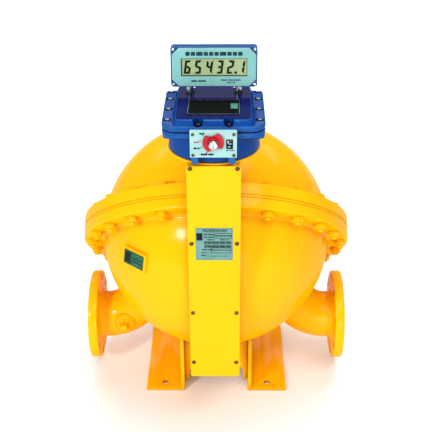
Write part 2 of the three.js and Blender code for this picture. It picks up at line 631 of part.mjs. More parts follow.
function blockingRotor() {
  const body = rodY(BLOCK_RADIUS, -runLength, runLength, 40);
  const scallop = rodY(SCALLOP_RADIUS, -200, 200, 24).translate(SCALLOP_OFFSET, 0, 0);
  const shaft = rodY(SHAFT_RADIUS, GEAR_FRONT - 8, plateOuter, 16);
  return join(seen(cut(body, scallop), towardsLeft), shaft);
}

// A toothed outline; each tooth is a tapered block, slimmer than half the pitch so that it runs free
function gearOutline(teeth, root, tip) {
  const step = (2 * Math.PI) / teeth;
  const corners = [[root, 0.62], [tip, 0.16], [tip, -0.16], [root, -0.62]];
  const points = Array.from({ length: teeth }, (_, tooth) => corners.map(([radius, offset]) => {
    const angle = tooth * step - (offset * step) / 2;
    return [radius * Math.cos(angle), radius * Math.sin(angle)];
  }));
  return points.flat();
}

function spurGear(teeth, bore, start) {
  const pitch = (GEAR_MODULE * teeth) / 2;
  const shape = outline(gearOutline(teeth, pitch - 7.5, pitch + 5));
  shape.holes.push(new THREE.Path().absarc(0, 0, bore, 0, 2 * Math.PI, true));
  return seen(standing(shape, GEAR_FRONT, GEAR_BACK, 8), start);
}

// Teeth in mesh: a tooth of the rotor's gear meets a gap of the blocking rotor's gear
const blockPitchAngle = (2 * Math.PI) / BLOCK_TEETH;
const leftGearStart = towardsLeft + Math.PI;
const blockGearStart = towardsLeft + blockPitchAngle / 2;
const rotorPitchAngle = (2 * Math.PI) / ROTOR_TEETH;
const blockToothPhase = (towardsRight - blockGearStart) / blockPitchAngle;
const rightGearStart = towardsRight + Math.PI + (blockToothPhase + 0.5) * rotorPitchAngle;
const gearBore = SHAFT_RADIUS + GAP;
const [leftPlace, rightPlace, blockPlace] = rotorPlaces;
const atPlace = (geometry, [x, z]) => geometry.translate(x, 0, z);
add('left_displacement_rotor', atPlace(displacementRotor(leftBlade), leftPlace), CASTING());
add('right_displacement_rotor', atPlace(displacementRotor(rightBlade), rightPlace), CASTING());
add('blocking_rotor', atPlace(blockingRotor(), blockPlace), CASTING());
add('left_rotor_gear', atPlace(spurGear(ROTOR_TEETH, gearBore, leftGearStart), leftPlace), STEEL());
add('right_rotor_gear', atPlace(spurGear(ROTOR_TEETH, gearBore, rightGearStart), rightPlace), STEEL());
add('blocking_rotor_gear', atPlace(spurGear(BLOCK_TEETH, gearBore, blockGearStart), blockPlace), STEEL());

// Drive train: shaft through the case wall, mitre gears, upright shaft, pulser disc
const shaftEnd = GEAR_FRONT - 8;
const driveShaft = cut(
  join(rodY(DRIVE_RADIUS, DRIVE_Y + MITRE_NEAR, shaftEnd, 12), rodY(19, shaftEnd - 14, shaftEnd + 6, 16)),
  rodY(SHAFT_RADIUS + GAP, shaftEnd - GAP, shaftEnd + 20, 16));
add('drive_shaft', driveShaft.translate(0, 0, BLOCK_Z), STEEL());
const glandBore = DRIVE_RADIUS + RUNNING;
const gland = turned([
  [glandBore, -18], [22.5, -18], [22.5, 14], [14, 14], [14, 24], [glandBore, 24], [glandBore, -18]], 16);
add('packing_gland', gland.rotateX(Math.PI / 2).translate(0, -300, BLOCK_Z), BRONZE());

// A mitre gear: its teeth taper towards the crossing of the axes, at the origin, below the gear
function mitreGear(bore, start) {
  const root = MITRE_FAR * 0.76;
  const shape = outline(gearOutline(MITRE_TEETH, root, MITRE_FAR * 1.15));
  const body = raised(shape, MITRE_NEAR, MITRE_FAR);
  const position = body.attributes.position;
  for (let i = 0; i < position.count; i += 1) {
    const scale = position.getZ(i) / MITRE_FAR;
    position.setXY(i, position.getX(i) * scale, position.getY(i) * scale);
  }
  const hub = rodZ(8.5, MITRE_FAR - 1, MITRE_FAR + 7, 12);
  return cut(join(body.rotateZ(start), hub), rodZ(bore, 0, 60, 12));
}
const crossing = (geometry) => geometry.translate(0, DRIVE_Y, BLOCK_Z);
const outputMitre = mitreGear(DRIVE_RADIUS + GAP, Math.PI / 2).rotateX(-Math.PI / 2);
add('output_mitre_gear', crossing(outputMitre), STEEL());
const uprightMitre = mitreGear(UPRIGHT_RADIUS + GAP, Math.PI / 2 + Math.PI / MITRE_TEETH);
add('vertical_mitre_gear', crossing(uprightMitre), STEEL());
const shaftTop = 390;
const upright = rodZ(UPRIGHT_RADIUS, BLOCK_Z + MITRE_NEAR, shaftTop, 12);
add('vertical_shaft', upright.translate(0, DRIVE_Y, 0), STEEL());

function shaftBracket(z) {
  const edge = channelInner - GAP;
  const plate = block(-edge, edge, DRIVE_Y - 11, DRIVE_Y + 14, z, z + 6);
  return cut(plate, rodZ(UPRIGHT_RADIUS + RUNNING, z - 5, z + 15, 12).translate(0, DRIVE_Y, 0));
}
add('lower_shaft_bracket', shaftBracket(-110), CASTING());
add('upper_shaft_bracket', shaftBracket(352), CASTING());

const DISC_Z = 374;
const discSlot = (index) => block(8, 10.5, -1.5, 1.5, 350, 400).rotateZ((index * Math.PI) / 3);
const slots = Array.from({ length: 6 }, (_, index) => discSlot(index));
const disc = cut(rodZ(12.5, DISC_Z, DISC_Z + 2, 20), rodZ(UPRIGHT_RADIUS + GAP, 350, 400, 12), ...slots);
add('pulser_disc', disc.translate(0, DRIVE_Y, 0), PLASTIC());
add('pulse_sensor', block(-11, 11, DRIVE_Y + 14, DRIVE_Y + 30, DISC_Z - 10, DISC_Z + 12), PLASTIC());

export default assembly;
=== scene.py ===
# The visual model of a large spherical flow meter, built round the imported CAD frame.
# Shapes are given in millimetres from the centre of the round case and placed in metres in the frame.
import json
import math

import bmesh
import bpy
from mathutils import Matrix, Vector


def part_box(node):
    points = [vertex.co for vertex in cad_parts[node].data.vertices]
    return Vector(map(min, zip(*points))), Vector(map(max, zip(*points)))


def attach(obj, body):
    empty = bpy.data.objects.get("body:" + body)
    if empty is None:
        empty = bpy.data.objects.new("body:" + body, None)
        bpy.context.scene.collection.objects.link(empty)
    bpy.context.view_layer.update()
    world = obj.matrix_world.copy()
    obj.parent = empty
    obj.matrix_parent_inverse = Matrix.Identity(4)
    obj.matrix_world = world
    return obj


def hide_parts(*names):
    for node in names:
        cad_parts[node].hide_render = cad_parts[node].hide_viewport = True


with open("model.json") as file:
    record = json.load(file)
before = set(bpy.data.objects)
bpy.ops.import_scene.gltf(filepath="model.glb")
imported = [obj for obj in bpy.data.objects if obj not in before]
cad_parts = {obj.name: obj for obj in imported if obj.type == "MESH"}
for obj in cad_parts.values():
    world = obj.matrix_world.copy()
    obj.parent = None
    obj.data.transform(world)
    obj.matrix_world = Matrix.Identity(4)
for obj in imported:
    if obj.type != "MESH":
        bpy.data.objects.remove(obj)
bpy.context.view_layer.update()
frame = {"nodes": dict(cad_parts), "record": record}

MM = 0.001
gasket_low, gasket_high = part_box("case_gasket")
CENTRE = (gasket_low + gasket_high) / 2  # the gasket lies round the middle of the case

CASE_RADIUS = 345
CASE_WALL = 12
CASE_TILT = 45  # degrees that the case's axis leans back from upright
RIM_RADIUS = 402
RIM_UPPER = 33  # thickness of the upper half's flange
RIM_LOWER = 36
RIM_SPLIT = 1.5  # from the parting plane to each flange
BOLT_CIRCLE = 376  # radius that the case bolts stand on
BOLT_COUNT = 24
CREASE = math.radians(35)  # edges sharper than this stay sharp in the shading


# ---------------------------------------------------------------- camera
CAMERA_BACK = 2.423
CAMERA_UP = 1.400
CAMERA_PITCH = math.radians(29)
CAMERA_SIDE = math.radians(0.8)  # the camera stands a little to the right
CAMERA_ROLL = math.radians(-0.35)
CAMERA_LENS = 75.4
CAMERA_FILM = 36
camera_data = bpy.data.cameras.new("camera")
camera_data.lens = CAMERA_LENS
camera_data.sensor_width = CAMERA_FILM
camera = bpy.data.objects.new("camera", camera_data)
camera.location = CENTRE + Matrix.Rotation(CAMERA_SIDE, 3, "Z") @ Vector((0, -CAMERA_BACK, CAMERA_UP))
camera.rotation_euler = (
    Matrix.Rotation(CAMERA_SIDE, 3, "Z") @ Matrix.Rotation(math.pi / 2 - CAMERA_PITCH, 3, "X")
    @ Matrix.Rotation(CAMERA_ROLL, 3, "Z")).to_euler()
bpy.context.scene.collection.objects.link(camera)
bpy.context.scene.camera = camera
bpy.context.scene.view_settings.view_transform = "Standard"


# ---------------------------------------------------------------- mesh helpers
def lathe(profile, segments=96):
    """An outline of (radius, height) pairs turned round Z. It closes on the axis or on itself."""
    bm = bmesh.new()
    rings = []
    for radius, height in profile:
        if radius < 1e-6:
            rings.append([bm.verts.new((0, 0, height))])
            continue
        angles = [2 * math.pi * i / segments for i in range(segments)]
        rings.append([bm.verts.new((radius * math.cos(a), radius * math.sin(a), height)) for a in angles])
    closed = len(rings[0]) > 1
    following = rings[1:] + rings[:1] if closed else rings[1:]
    for low, high in zip(rings, following):
        for i in range(segments):
            j = (i + 1) % segments
            corners = [low[i % len(low)], low[j % len(low)], high[j % len(high)], high[i % len(high)]]
            unique = list(dict.fromkeys(corners))
            if len(unique) > 2:
                bm.faces.new(unique)
    return bm


def arc(radius, start, end, steps, centre=(0, 0)):
    """Points on an arc, angles in degrees."""
    angles = [math.radians(start + (end - start) * i / steps) for i in range(steps + 1)]
    return [(centre[0] + radius * math.cos(a), centre[1] + radius * math.sin(a)) for a in angles]


def rounded(points, radius, steps=4, closed=True):
    """The outline with its corners eased over the given distance, or a distance for each corner."""
    count = len(points)
    sizes = radius if isinstance(radius, (list, tuple)) else [radius] * count
    result = []
    for i, point in enumerate(points):
        here = Vector(point)
        if sizes[i] == 0 or (not closed and i in (0, count - 1)):
            result.append(tuple(here))
            continue
        before = Vector(points[i - 1]) - here
        after = Vector(points[(i + 1) % count]) - here
        start = here + before.normalized() * min(sizes[i], before.length * 0.49)
        end = here + after.normalized() * min(sizes[i], after.length * 0.49)
        for step in range(steps + 1):
            u = step / steps
            result.append(tuple(start * (1 - u) ** 2 + here * (2 * u * (1 - u)) + end * u ** 2))
    return result


def rectangle(width, height, x=0, y=0):
    """The corners of a rectangle, given its middle."""
    half, tall = width / 2, height / 2
    return [(x - half, y - tall), (x + half, y - tall), (x + half, y + tall), (x - half, y + tall)]


def loft(layers):
    """A solid through outlines in X and Y, each given with its height."""
    bm = bmesh.new()
    rings = [[bm.verts.new((x, y, height)) for x, y in outline] for outline, height in layers]
    bm.faces.new(rings[0])
    bm.faces.new(rings[-1])
    for low, high in zip(rings, rings[1:]):
        for i in range(len(low)):
            j = (i + 1) % len(low)
            bm.faces.new((low[i], low[j], high[j], high[i]))
    bmesh.ops.recalc_face_normals(bm, faces=bm.faces)
    return bm


def slab(outline, low, high):
    """An outline in X and Y raised from one height to another."""
    return loft([(outline, low), (outline, high)])


def inset(outline, distance):
    """The outline drawn in by a distance."""
    points = [Vector(p) for p in outline]
    following = points[1:] + points[:1]
    area = sum(a.x * b.y - b.x * a.y for a, b in zip(points, following))
    side = math.copysign(1, area)
    result = []
    for before, here, after in zip(points[-1:] + points[:-1], points, following):
        first = (here - before).normalized()
        second = (after - here).normalized()
        inward = Vector((-first.y - second.y, first.x + second.x)).normalized() * side
        lean = max(inward.dot(Vector((-first.y, first.x)) * side), 0.3)
        result.append(tuple(here + inward * distance / lean))
    return result


def soft_slab(outline, low, high, soft, steps=4):
    """A slab with rounded edges round its top and its bottom."""
    turns = [math.pi / 2 * i / steps for i in range(steps + 1)]
    layers = [(inset(outline, soft * (1 - math.sin(t))), low + soft * (1 - math.cos(t))) for t in turns]
    layers += [(inset(outline, soft * (1 - math.cos(t))), high - soft * (1 - math.sin(t))) for t in turns]
    return loft(layers)


def moved(bm, x=0, y=0, z=0):
    bm.transform(Matrix.Translation((x, y, z)))
    return bm


def turned(bm, degrees, axis):
    bm.transform(Matrix.Rotation(math.radians(degrees), 4, axis))
    return bm


def facing_front(bm):
    """Turns a shape that rises along Z so that it rises towards -Y, with its Y up."""
    return turned(bm, 90, "X")


def block(x0, x1, y0, y1, z0, z1):
    """A box between two limits on each axis."""
    return slab([(x0, y0), (x1, y0), (x1, y1), (x0, y1)], z0, z1)


def mirrored(bm):
    """A copy of the mesh on the other side of the plane X = 0."""
    copy = bm.copy()
    copy.transform(Matrix.Scale(-1, 4, (1, 0, 0)))
    bmesh.ops.reverse_faces(copy, faces=copy.faces)
    return copy


def gathered(*parts):
    """Several meshes as one, each left as its own shell."""
    whole = bmesh.new()
    for part in parts:
        mesh = bpy.data.meshes.new("part")
        part.to_mesh(mesh)
        whole.from_mesh(mesh)
        bpy.data.meshes.remove(mesh)
        part.free()
    return whole


def softened(bm, width, segments=2, angle=30):
    """Rounds every edge sharper than the angle."""
    limit = math.radians(angle)
    edges = [e for e in bm.edges if len(e.link_faces) == 2 and e.calc_face_angle(0) > limit]
    bmesh.ops.bevel(
        bm, geom=edges, offset=width, segments=segments, affect="EDGES", profile=0.5, clamp_overlap=True)
    return bm


def scratch(bm):
    """A short-lived object for the boolean modifier."""
    bmesh.ops.recalc_face_normals(bm, faces=bm.faces)
    mesh = bpy.data.meshes.new("scratch")
    bm.to_mesh(mesh)
    bm.free()
    obj = bpy.data.objects.new("scratch", mesh)
    bpy.context.scene.collection.objects.link(obj)
    return obj


def combined(bm, tools, operation):
    """The mesh after a boolean with each of the tools. All the meshes given are used up."""
    body = scratch(bm)
    helpers = [scratch(tool) for tool in tools]
    for helper in helpers:
        modifier = body.modifiers.new("cut", "BOOLEAN")
        modifier.operation = operation
        modifier.solver = "EXACT"
        modifier.object = helper
    result = bmesh.new()
    result.from_object(body, bpy.context.evaluated_depsgraph_get())
    for obj in [body, *helpers]:
        mesh = obj.data
        bpy.data.objects.remove(obj)
        bpy.data.meshes.remove(mesh)
    return result


def carved(bm, *tools):
    return combined(bm, tools, "DIFFERENCE")


def united(bm, *tools):
    return combined(bm, tools, "UNION")


def piece(name, bm, material, body="case", replaces=()):
    """Makes an object of a mesh in millimetres, smooth except at creases, riding on a body."""
    bmesh.ops.remove_doubles(bm, verts=bm.verts, dist=0.005)
    bmesh.ops.recalc_face_normals(bm, faces=bm.faces)
    bm.transform(Matrix.Translation(CENTRE) @ Matrix.Scale(MM, 4))
    mesh = bpy.data.meshes.new(name)
    bm.to_mesh(mesh)
    bm.free()
    for face in mesh.polygons:
        face.use_smooth = True
    mesh.set_sharp_from_angle(angle=CREASE)
    mesh.materials.append(material)
    obj = bpy.data.objects.new(name, mesh)
    bpy.context.scene.collection.objects.link(obj)
    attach(obj, body)
    if replaces:
        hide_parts(*replaces)
    return obj


def from_cad(node, width):
    """A copy of a flat-sided CAD node with its edges rounded, in millimetres."""
    bm = bmesh.new()
    bm.from_mesh(frame["nodes"][node].data)
    bm.transform(Matrix.Scale(1 / MM, 4) @ Matrix.Translation(-CENTRE))
    bmesh.ops.remove_doubles(bm, verts=bm.verts, dist=0.01)
    bmesh.ops.dissolve_limit(bm, angle_limit=math.radians(1), verts=bm.verts, edges=bm.edges)
    return softened(bm, width, 2, 40)


# ---------------------------------------------------------------- material helpers
def linear(red, green, blue):
    """The linear colour for one given as 0 to 255 on screen."""
    def channel(value):
        value /= 255
        return value / 12.92 if value <= 0.04045 else ((value + 0.055) / 1.055) ** 2.4
    return (channel(red), channel(green), channel(blue), 1)


def darker(colour):
    return (*[channel * 0.4 for channel in colour[:3]], 1)


class Finish:
    """A node material with a few short-hand steps for building it."""

    def __init__(self, name, metallic=0.0, coat=0.0, coat_roughness=0.1, specular=0.5):
        self.material = bpy.data.materials.new(name)
        self.material.use_nodes = True
        self.nodes = self.material.node_tree.nodes
        self.links = self.material.node_tree.links
        self.surface = self.nodes["Principled BSDF"]
        self.surface.inputs["Metallic"].default_value = metallic
        self.surface.inputs["Coat Weight"].default_value = coat
        self.surface.inputs["Coat Roughness"].default_value = coat_roughness
        self.surface.inputs["Specular IOR Level"].default_value = specular
        self.place = self.nodes.new("ShaderNodeTexCoord").outputs["Object"]
        self.normal = None

    def noise(self, scale, detail=3, roughness=0.5, stretch=None):
        node = self.nodes.new("ShaderNodeTexNoise")
        node.inputs["Scale"].default_value = scale
        node.inputs["Detail"].default_value = detail
        node.inputs["Roughness"].default_value = roughness
        place = self.place
        if stretch:
            mapping = self.nodes.new("ShaderNodeMapping")
            mapping.inputs["Scale"].default_value = stretch
            self.links.new(place, mapping.inputs["Vector"])
            place = mapping.outputs["Vector"]
        self.links.new(place, node.inputs["Vector"])
        return node.outputs["Fac"]

    def ranged(self, value, low, high, from_low=0.0, from_high=1.0):
        """The value carried over from one range to another."""
        node = self.nodes.new("ShaderNodeMapRange")
        limits = {"From Min": from_low, "From Max": from_high, "To Min": low, "To Max": high}
        for key, number in limits.items():
            node.inputs[key].default_value = number
        self.links.new(value, node.inputs["Value"])
        return node.outputs["Result"]

    def mixed(self, factor, first, second):
        """A colour between two, each a constant or another step's result."""
        node = self.nodes.new("ShaderNodeMix")
        node.data_type = "RGBA"
        self.links.new(factor, node.inputs["Factor"])
        for key, value in (("A", first), ("B", second)):
            socket = [s for s in node.inputs if s.name == key and s.type == "RGBA"][0]
            if isinstance(value, tuple):
                socket.default_value = value
            else:
                self.links.new(value, socket)
        return [s for s in node.outputs if s.type == "RGBA"][0]

    def crevices(self, distance):
        """Falls from 1 towards 0 where other surfaces are nearer than the distance."""
        node = self.nodes.new("ShaderNodeAmbientOcclusion")
        node.samples = 8
        node.inputs["Distance"].default_value = distance
        return node.outputs["AO"]

    def edges(self):
        """Rises from 0 to 1 on edges that stand out."""
        node = self.nodes.new("ShaderNodeNewGeometry")
        return self.ranged(node.outputs["Pointiness"], 0.0, 1.0, 0.52, 0.6)

    def bump(self, height, strength, distance):
        """Adds a relief to what is there already."""
        node = self.nodes.new("ShaderNodeBump")
        node.inputs["Strength"].default_value = strength
        node.inputs["Distance"].default_value = distance
        self.links.new(height, node.inputs["Height"])
        if self.normal is not None:
            self.links.new(self.normal, node.inputs["Normal"])
        self.normal = node.outputs["Normal"]

    def done(self, colour, roughness):
        """Joins the last steps to the surface and gives the material."""
        self.links.new(colour, self.surface.inputs["Base Color"])
        self.links.new(roughness, self.surface.inputs["Roughness"])
        if self.normal is not None:
            self.links.new(self.normal, self.surface.inputs["Normal"])
        return self.material


def paint(name, colour, shade_colour, light, cast=0.0, gloss=(0.26, 0.4), shade=0.045, edge=None):
    """Sprayed enamel: slow colour drift, painted shade in crevices, lighter edges that are part wear and
    part painted highlight, and orange peel.
    """
    f = Finish(name, coat=0.2, coat_roughness=0.16, specular=0.0)
    drift = f.ranged(f.noise(5, 3), 0.0, 0.35, 0.35, 0.7)
    tone = f.mixed(drift, colour, light)
    # Painted shade: the tone darkens towards the shade colour where other surfaces come near.
    hollow = f.ranged(f.crevices(shade), 0.9, 0.0, 0.15, 0.85)
    tone = f.mixed(hollow, tone, shade_colour)
    # Painted shade: a darker band still in the tightest corners.
    corner = f.ranged(f.crevices(shade * 0.2), 0.8, 0.0, 0.1, 0.6)
    tone = f.mixed(corner, tone, darker(shade_colour))
    # Lighter edges, part wear and part painted highlight; an edge colour passed in is a painted highlight.
    wear_and_highlight = f.ranged(f.edges(), 0.0, 0.6 if edge else 0.3)
    tone = f.mixed(wear_and_highlight, tone, edge or light)
    f.bump(f.noise(420, 2), 0.10, 0.0006)
    if cast:
        f.bump(f.noise(70, 4, 0.6), cast, 0.0016)
        f.bump(f.noise(9, 2), cast, 0.006)
    return f.done(tone, f.ranged(f.noise(26, 4), gloss[0], gloss[1], 0.3, 0.7))


def metal(name, colour, dark, roughness=(0.2, 0.36), brushed=None):
    """Bare or plated metal with a brushed grain, its tone darker in patches of the grain and in crevices.
    """
    f = Finish(name, metallic=1.0)
    grain = f.noise(300, 3, 0.6, stretch=brushed)
    tone = f.mixed(f.ranged(grain, 0.0, 0.5, 0.35, 0.75), colour, dark)
    # Darker in crevices, where other surfaces come near.
    hollow = f.ranged(f.crevices(0.006), 0.8, 0.0, 0.1, 0.8)
    tone = f.mixed(hollow, tone, dark)
    f.bump(grain, 0.15, 0.0003)
    return f.done(tone, f.ranged(f.noise(60, 4), roughness[0], roughness[1], 0.3, 0.7))


def plain(name, colour, second, roughness, coat=0.0, bump=0.08, specular=0.14):
    """Moulded plastic, rubber or printed enamel: patches of two near colours and a fine grain."""
    f = Finish(name, coat=coat, specular=specular)
    tone = f.mixed(f.ranged(f.noise(18, 3), 0.0, 1.0, 0.35, 0.65), colour, second)
    f.bump(f.noise(480, 2), bump, 0.0003)
    return f.done(tone, f.ranged(f.noise(120, 3), roughness[0], roughness[1], 0.3, 0.7))


YELLOW = linear(249, 177, 6)
# The colour that the yellow paints darken to in crevices: painted shade.
YELLOW_SHADE = linear(178, 88, 0)
YELLOW_LIGHT = linear(252, 185, 8)
case_paint = paint("case_paint", YELLOW, YELLOW_SHADE, YELLOW_LIGHT, cast=0.16)
sheet_paint = paint("sheet_paint", YELLOW, YELLOW_SHADE, YELLOW_LIGHT, gloss=(0.3, 0.42))
bolt_paint = paint("bolt_paint", YELLOW, YELLOW_SHADE, YELLOW_LIGHT, gloss=(0.22, 0.35), shade=0.02)

# The colour that the blue paints darken to in crevices: painted shade.
BLUE_SHADE = linear(14, 10, 60)
# Its edge colour is a painted highlight: pale cyan on the lid's edges.
register_paint = paint(
    "register_paint", linear(8, 58, 130), BLUE_SHADE, linear(12, 70, 142), cast=0.12, shade=0.03,
    edge=linear(70, 140, 190))
# A darker purple copy of the register blue for the lid's top: painted shade and reflection.
plateau_shade_paint = paint(
    "plateau_shade_paint", linear(22, 22, 80), BLUE_SHADE, linear(22, 32, 92), cast=0.1, shade=0.03)
# Its edge colour is a painted highlight on the housing's edges.
display_blue = paint(
    "display_blue", linear(14, 50, 116), BLUE_SHADE, linear(50, 96, 146), shade=0.02,
    edge=linear(90, 150, 195))

steel = metal("steel", linear(196, 200, 198), linear(110, 116, 112), brushed=(1, 1, 8))
post_steel = metal("post_steel", linear(214, 222, 212), linear(120, 140, 124), (0.16, 0.28), (1, 1, 12))
screw_steel = metal("screw_steel", linear(104, 96, 56), linear(22, 22, 14), (0.14, 0.24))
bolt_steel = metal("bolt_steel", linear(120, 132, 138), linear(50, 58, 66), (0.24, 0.4))
casting = metal("casting", linear(150, 154, 158), linear(96, 99, 102), (0.45, 0.65))
bronze = metal("bronze", linear(190, 148, 84), linear(110, 80, 40))

rubber = plain("rubber", linear(32, 32, 30), linear(44, 43, 40), (0.7, 0.9))
black_plastic = plain("black_plastic", linear(26, 28, 30), linear(38, 40, 42), (0.4, 0.6))
board_green = plain("board_green", linear(24, 96, 52), linear(18, 78, 42), (0.4, 0.6))
teal_panel = plain("teal_panel", linear(122, 176, 172), linear(114, 168, 166), (0.35, 0.5))
print_teal = plain("print_teal", linear(4, 46, 50), linear(8, 54, 58), (0.4, 0.5))
lcd_glass = plain("lcd_glass", linear(148, 168, 116), linear(138, 158, 112), (0.16, 0.26), coat=0.15)
digit_black = plain("digit_black", linear(3, 5, 4), linear(8, 10, 8), (0.4, 0.5), specular=0.08)
plate_teal = plain("plate_teal", linear(104, 148, 142), linear(92, 134, 130), (0.3, 0.45), coat=0.1)
plate_ink = plain("plate_ink", linear(3, 18, 16), linear(8, 26, 22), (0.4, 0.5))
tag_green = plain("tag_green", linear(8, 58, 40), linear(5, 46, 33), (0.35, 0.5), coat=0.05)
tag_pale = plain("tag_pale", linear(66, 138, 110), linear(56, 126, 100), (0.35, 0.5))
tag_ink = plain("tag_ink", linear(3, 20, 15), linear(5, 26, 19), (0.4, 0.5))
label_black = plain("label_black", linear(2, 4, 3), linear(5, 7, 5), (0.5, 0.65), specular=0.05)
label_green = plain("label_green", linear(76, 140, 112), linear(66, 128, 100), (0.3, 0.45))
switch_mint = plain("switch_mint", linear(150, 190, 186), linear(140, 180, 178), (0.3, 0.42), coat=0.08)
mark_red = plain("mark_red", linear(180, 40, 70), linear(165, 30, 58), (0.4, 0.5))
knob_red = plain("knob_red", linear(178, 4, 22), linear(160, 2, 18), (0.2, 0.32), coat=0.3, bump=0.04)

# ---------------------------------------------------------------- the round case
CASE_SIDES = 192


def on_case(bm):
    """From the case's own axis, square to the parting plane, to the upright frame."""
    return turned(bm, -CASE_TILT, "X")


def case_half(rim, grooves=()):
    """The half above the parting plane, with a cast fillet between the dome and its flange.

    The rim is the flange's thickness, and each groove runs round its edge at the given height.
    """
    inner = CASE_RADIUS - CASE_WALL
    top = RIM_SPLIT + rim
    fillet = 12
    height = top + fillet
    reach = math.sqrt((CASE_RADIUS + fillet) ** 2 - height ** 2)
    lean = math.degrees(math.atan2(height, reach))
    flange = [(inner, RIM_SPLIT), (RIM_RADIUS, RIM_SPLIT)]
    for groove in grooves:
        flange += [(RIM_RADIUS, groove - 1.2), (RIM_RADIUS - 2, groove), (RIM_RADIUS, groove + 1.2)]
    flange += [(RIM_RADIUS, top), (reach, top)]
    easing = [0, 1.5] + [0.3] * (3 * len(grooves)) + [5, 0]
    inside = arc(inner, 90, 1, 20)
    fillet_arc = arc(fillet, 270, 180 + lean, 5, (reach, height))
    outside = arc(CASE_RADIUS, lean, 90, 32)[1:]
    return lathe(inside + rounded(flange, easing, 4, closed=False) + fillet_arc + outside, CASE_SIDES)


NOZZLE_FACE = 401
NOZZLE_DROP = 305  # from the middle of the case down to the pipes
NOZZLE_STRAIGHT = 51
NOZZLE_BEND = 120  # radius of the bend
NOZZLE_TURN = math.radians(43)
NOZZLE_RADIUS = 73
NOZZLE_BORE = 64  # radius of the bore
NOZZLE_SIDES = 72
FLANGE_RADIUS = 139.7
FLANGE_THICK = 30
FLANGE_BOLTS = 8
FLANGE_BOLT_CIRCLE = 120.65  # radius that the bolt holes stand on
FLANGE_HOLE = 11.1


def nozzle_place(distance):
    """A point on the outlet nozzle's axis and its direction, by the distance in from the flange face."""
    straight = min(distance, NOZZLE_STRAIGHT)
    turn = min(max(distance - NOZZLE_STRAIGHT, 0) / NOZZLE_BEND, NOZZLE_TURN)
    along = Vector((-math.cos(turn), 0, math.sin(turn)))
    bend = Vector((-math.sin(turn), 0, 1 - math.cos(turn))) * NOZZLE_BEND
    rest = distance - straight - turn * NOZZLE_BEND
    return Vector((NOZZLE_FACE - straight, 0, -NOZZLE_DROP)) + bend + along * rest, along


def nozzle_sweep(section, closed):
    """Rings of (distance, radius) along the nozzle, joined up; open ends are capped."""
    bm = bmesh.new()
    rings = []
    for distance, radius in section:
        place, along = nozzle_place(distance)
        across = Vector((0, 1, 0))
        up = along.cross(across)
        angles = [2 * math.pi * i / NOZZLE_SIDES for i in range(NOZZLE_SIDES)]
        spokes = [across * math.cos(a) + up * math.sin(a) for a in angles]
        rings.append([bm.verts.new(place + spoke * radius) for spoke in spokes])
    following = rings[1:] + rings[:1] if closed else rings[1:]
    for low, high in zip(rings, following):
        for i in range(NOZZLE_SIDES):
            j = (i + 1) % NOZZLE_SIDES
            bm.faces.new((low[i], low[j], high[j], high[i]))
    if not closed:
        bm.faces.new(rings[0])
        bm.faces.new(rings[-1])
    return bm


BEND_STEPS = [NOZZLE_STRAIGHT + NOZZLE_BEND * NOZZLE_TURN * i / 12 for i in range(13)]
bore_tool = nozzle_sweep([(d, NOZZLE_BORE) for d in BEND_STEPS[6:] + [300]], closed=False)
GLAND_HOLE = 24
GLAND_Z = -150
gland_tool = facing_front(lathe([(0, 240), (GLAND_HOLE, 240), (GLAND_HOLE, 345), (0, 345)], 32))
lower_half = on_case(turned(case_half(RIM_LOWER, grooves=(7.5,)), 180, "X"))
lower_half = carved(lower_half, bore_tool, mirrored(bore_tool), moved(gland_tool, z=GLAND_Z))
piece("lower_case_half", lower_half, case_paint, replaces=["lower_housing"])
piece("upper_case_half", on_case(case_half(RIM_UPPER)), case_paint, replaces=["upper_cover"])
joint_outer, joint_half = RIM_RADIUS - 2, RIM_SPLIT - 0.05
joint_profile = [
    (390, -joint_half), (joint_outer, -joint_half), (joint_outer, joint_half), (390, joint_half)]
piece("painted_joint", on_case(lathe(joint_profile, CASE_SIDES)), case_paint)


def hex_head(radius, low, high):
    """A bolt head or a nut with its corners turned off."""
    hexagon = arc(radius, 0, 300, 5)
    chamfer = radius * 0.16
    wide = radius * 1.02
    cone = lathe(
        [(0, low - 2), (wide, low - 2), (wide, high - chamfer), (radius * 0.84, high), (0, high)], 48)
    return combined(slab(hexagon, low, high + 2), [cone], "INTERSECT")


BOLT_HEAD = 16.5
STUD_RADIUS = 9
STUD_END = 60
NUT_LOW = 37.5
washer = lathe([(0, 34.5), (19, 34.5), (19, 36.6), (18.4, 37.2), (0, 37.2)], 32)
stud = lathe(
    [(0, NUT_LOW), (STUD_RADIUS, NUT_LOW), (STUD_RADIUS, STUD_END - 2), (STUD_RADIUS - 2, STUD_END),
     (0, STUD_END)], 24)
bolt_top = gathered(washer, hex_head(BOLT_HEAD, 37, 49))
nut_below = turned(gathered(hex_head(BOLT_HEAD, NUT_LOW, 53), stud), 180, "X")
bolt = gathered(bolt_top, nut_below)
bolts = []
for i in range(BOLT_COUNT):
    spin = turned(bolt.copy(), (i * 37) % 60, "Z")
    bolts.append(turned(moved(spin, x=BOLT_CIRCLE), (i + 0.5) * 360 / BOLT_COUNT, "Z"))
piece("case_bolts_and_nuts", on_case(gathered(*bolts)), bolt_paint, replaces=["case_bolts"])

# ---------------------------------------------------------------- nozzles
FILLET = 17  # radius between the pipe and its flange
BEND_END = BEND_STEPS[-1]
